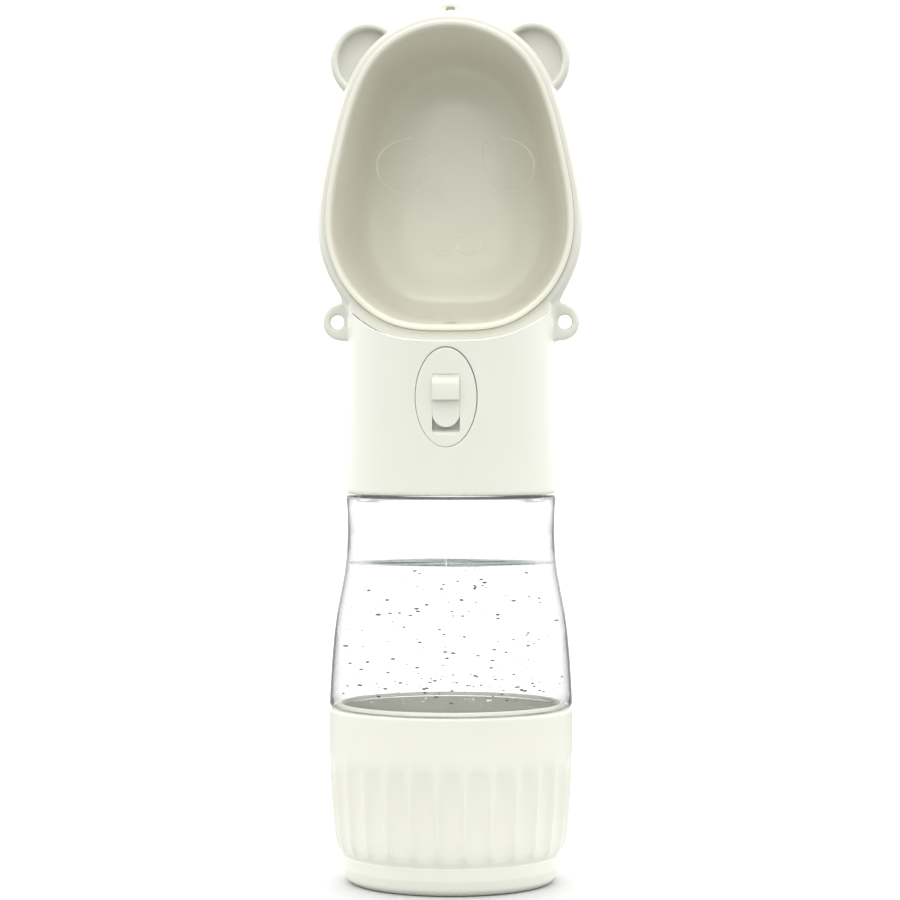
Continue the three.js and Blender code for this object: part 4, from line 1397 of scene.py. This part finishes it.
floor_mat = bpy.data.materials.new("stage_floor")
nt = nodes_of(floor_mat)
out = nt.nodes.new("ShaderNodeOutputMaterial")
bsdf = nt.nodes.new("ShaderNodeBsdfPrincipled")
bsdf.inputs["Base Color"].default_value = (0.50, 0.50, 0.50, 1)
bsdf.inputs["Roughness"].default_value = 0.7
bsdf.inputs["Specular IOR Level"].default_value = 0.2
nt.links.new(bsdf.outputs[0], out.inputs[0])
plane("stage_floor", 0.20, -0.0002, floor_mat)

# A white room, brighter overhead and at the sides than in front; seen as plain white
world = bpy.data.worlds.new("studio")
bpy.context.scene.world = world
world.use_nodes = True
nt = world.node_tree
nt.nodes.clear()


def math_node(op, a, b):
    n = nt.nodes.new("ShaderNodeMath")
    n.operation = op
    for k, v in ((0, a), (1, b)):
        if isinstance(v, (int, float)):
            n.inputs[k].default_value = v
        else:
            nt.links.new(v, n.inputs[k])
    return n.outputs[0]


AHEAD, BEHIND, TOP, LOW, SEEN = 1.30, 2.05, 0.6, 0.42, 1.8
out = nt.nodes.new("ShaderNodeOutputWorld")
bg = nt.nodes.new("ShaderNodeBackground")
tc = nt.nodes.new("ShaderNodeTexCoord")
sep = nt.nodes.new("ShaderNodeSeparateXYZ")
nt.links.new(tc.outputs["Generated"], sep.inputs[0])
wx, wy, wz = sep.outputs
turn = nt.nodes.new("ShaderNodeMapRange")
turn.interpolation_type = "SMOOTHSTEP"
turn.inputs["From Min"].default_value = -0.16
turn.inputs["From Max"].default_value = 0.16
turn.inputs["To Min"].default_value = AHEAD
turn.inputs["To Max"].default_value = BEHIND
nt.links.new(wy, turn.inputs["Value"])
up = math_node("POWER", math_node("MAXIMUM", wz, 0.0), 1.2)
light = math_node("MULTIPLY", turn.outputs[0], math_node("ADD", math_node("MULTIPLY", up, TOP), 1.0))
below = math_node("LESS_THAN", wz, -0.02)
light = math_node("ADD", math_node("MULTIPLY", light, math_node("SUBTRACT", 1.0, below)), math_node("MULTIPLY", below, LOW))
path = nt.nodes.new("ShaderNodeLightPath")
seen = math_node("MAXIMUM", path.outputs["Is Camera Ray"], path.outputs["Is Transmission Ray"])
light = math_node("ADD", math_node("MULTIPLY", light, math_node("SUBTRACT", 1.0, seen)), math_node("MULTIPLY", seen, SEEN))
bg.inputs["Color"].default_value = (1, 1, 1, 1)
nt.links.new(light, bg.inputs["Strength"])
nt.links.new(bg.outputs[0], out.inputs[0])


def area(name, loc, target, size, power, size_y=None):
    l = bpy.data.lights.new(name, "AREA")
    l.shape = "RECTANGLE" if size_y else "SQUARE"
    l.size = size
    if size_y:
        l.size_y = size_y
    l.energy = power
    o = bpy.data.objects.new(name, l)
    o.location = loc
    d = Vector(target) - Vector(loc)
    o.rotation_euler = d.to_track_quat("-Z", "Y").to_euler()
    bpy.context.scene.collection.objects.link(o)
    return o


area("key_top", (0.0, -0.45, 1.25), (0, 0, 0.16), 0.8, 3.0)
area("strip_low", (-0.07, -1.5, 0.312), (-0.004, 0.03, 0.19), 0.066, 0.13, 0.09)
area("strip_high", (-0.07, -1.5, 0.395), (-0.004, 0.03, 0.22), 0.043, 0.085, 0.09)

scene = bpy.context.scene
scene.view_settings.view_transform = "Standard"
scene.view_settings.look = "None"
scene.view_settings.exposure = 0.0
scene.view_settings.gamma = 1.0

# -------------------------------------------------------------------------- camera
AZ = math.radians(2.75)
DIST = 0.783
cam_data = bpy.data.cameras.new("camera")
cam_data.sensor_width = 36.0
cam_data.lens = 108.0
cam_data.clip_start = 0.05
cam_data.clip_end = 100
cam = bpy.data.objects.new("camera", cam_data)
cam.location = (DIST * math.sin(AZ), -DIST * math.cos(AZ), 0.1275)
pitch = math.atan(10 / 2700)
yaw = math.atan(1.0 / 2700)
aim = Vector((-math.sin(AZ), math.cos(AZ), 0))
right = Vector((math.cos(AZ), math.sin(AZ), 0))
aim = (aim - right * math.tan(yaw) - Vector((0, 0, 1)) * math.tan(pitch)).normalized()
cam.rotation_euler = aim.to_track_quat("-Z", "Y").to_euler()
scene.collection.objects.link(cam)
scene.camera = cam
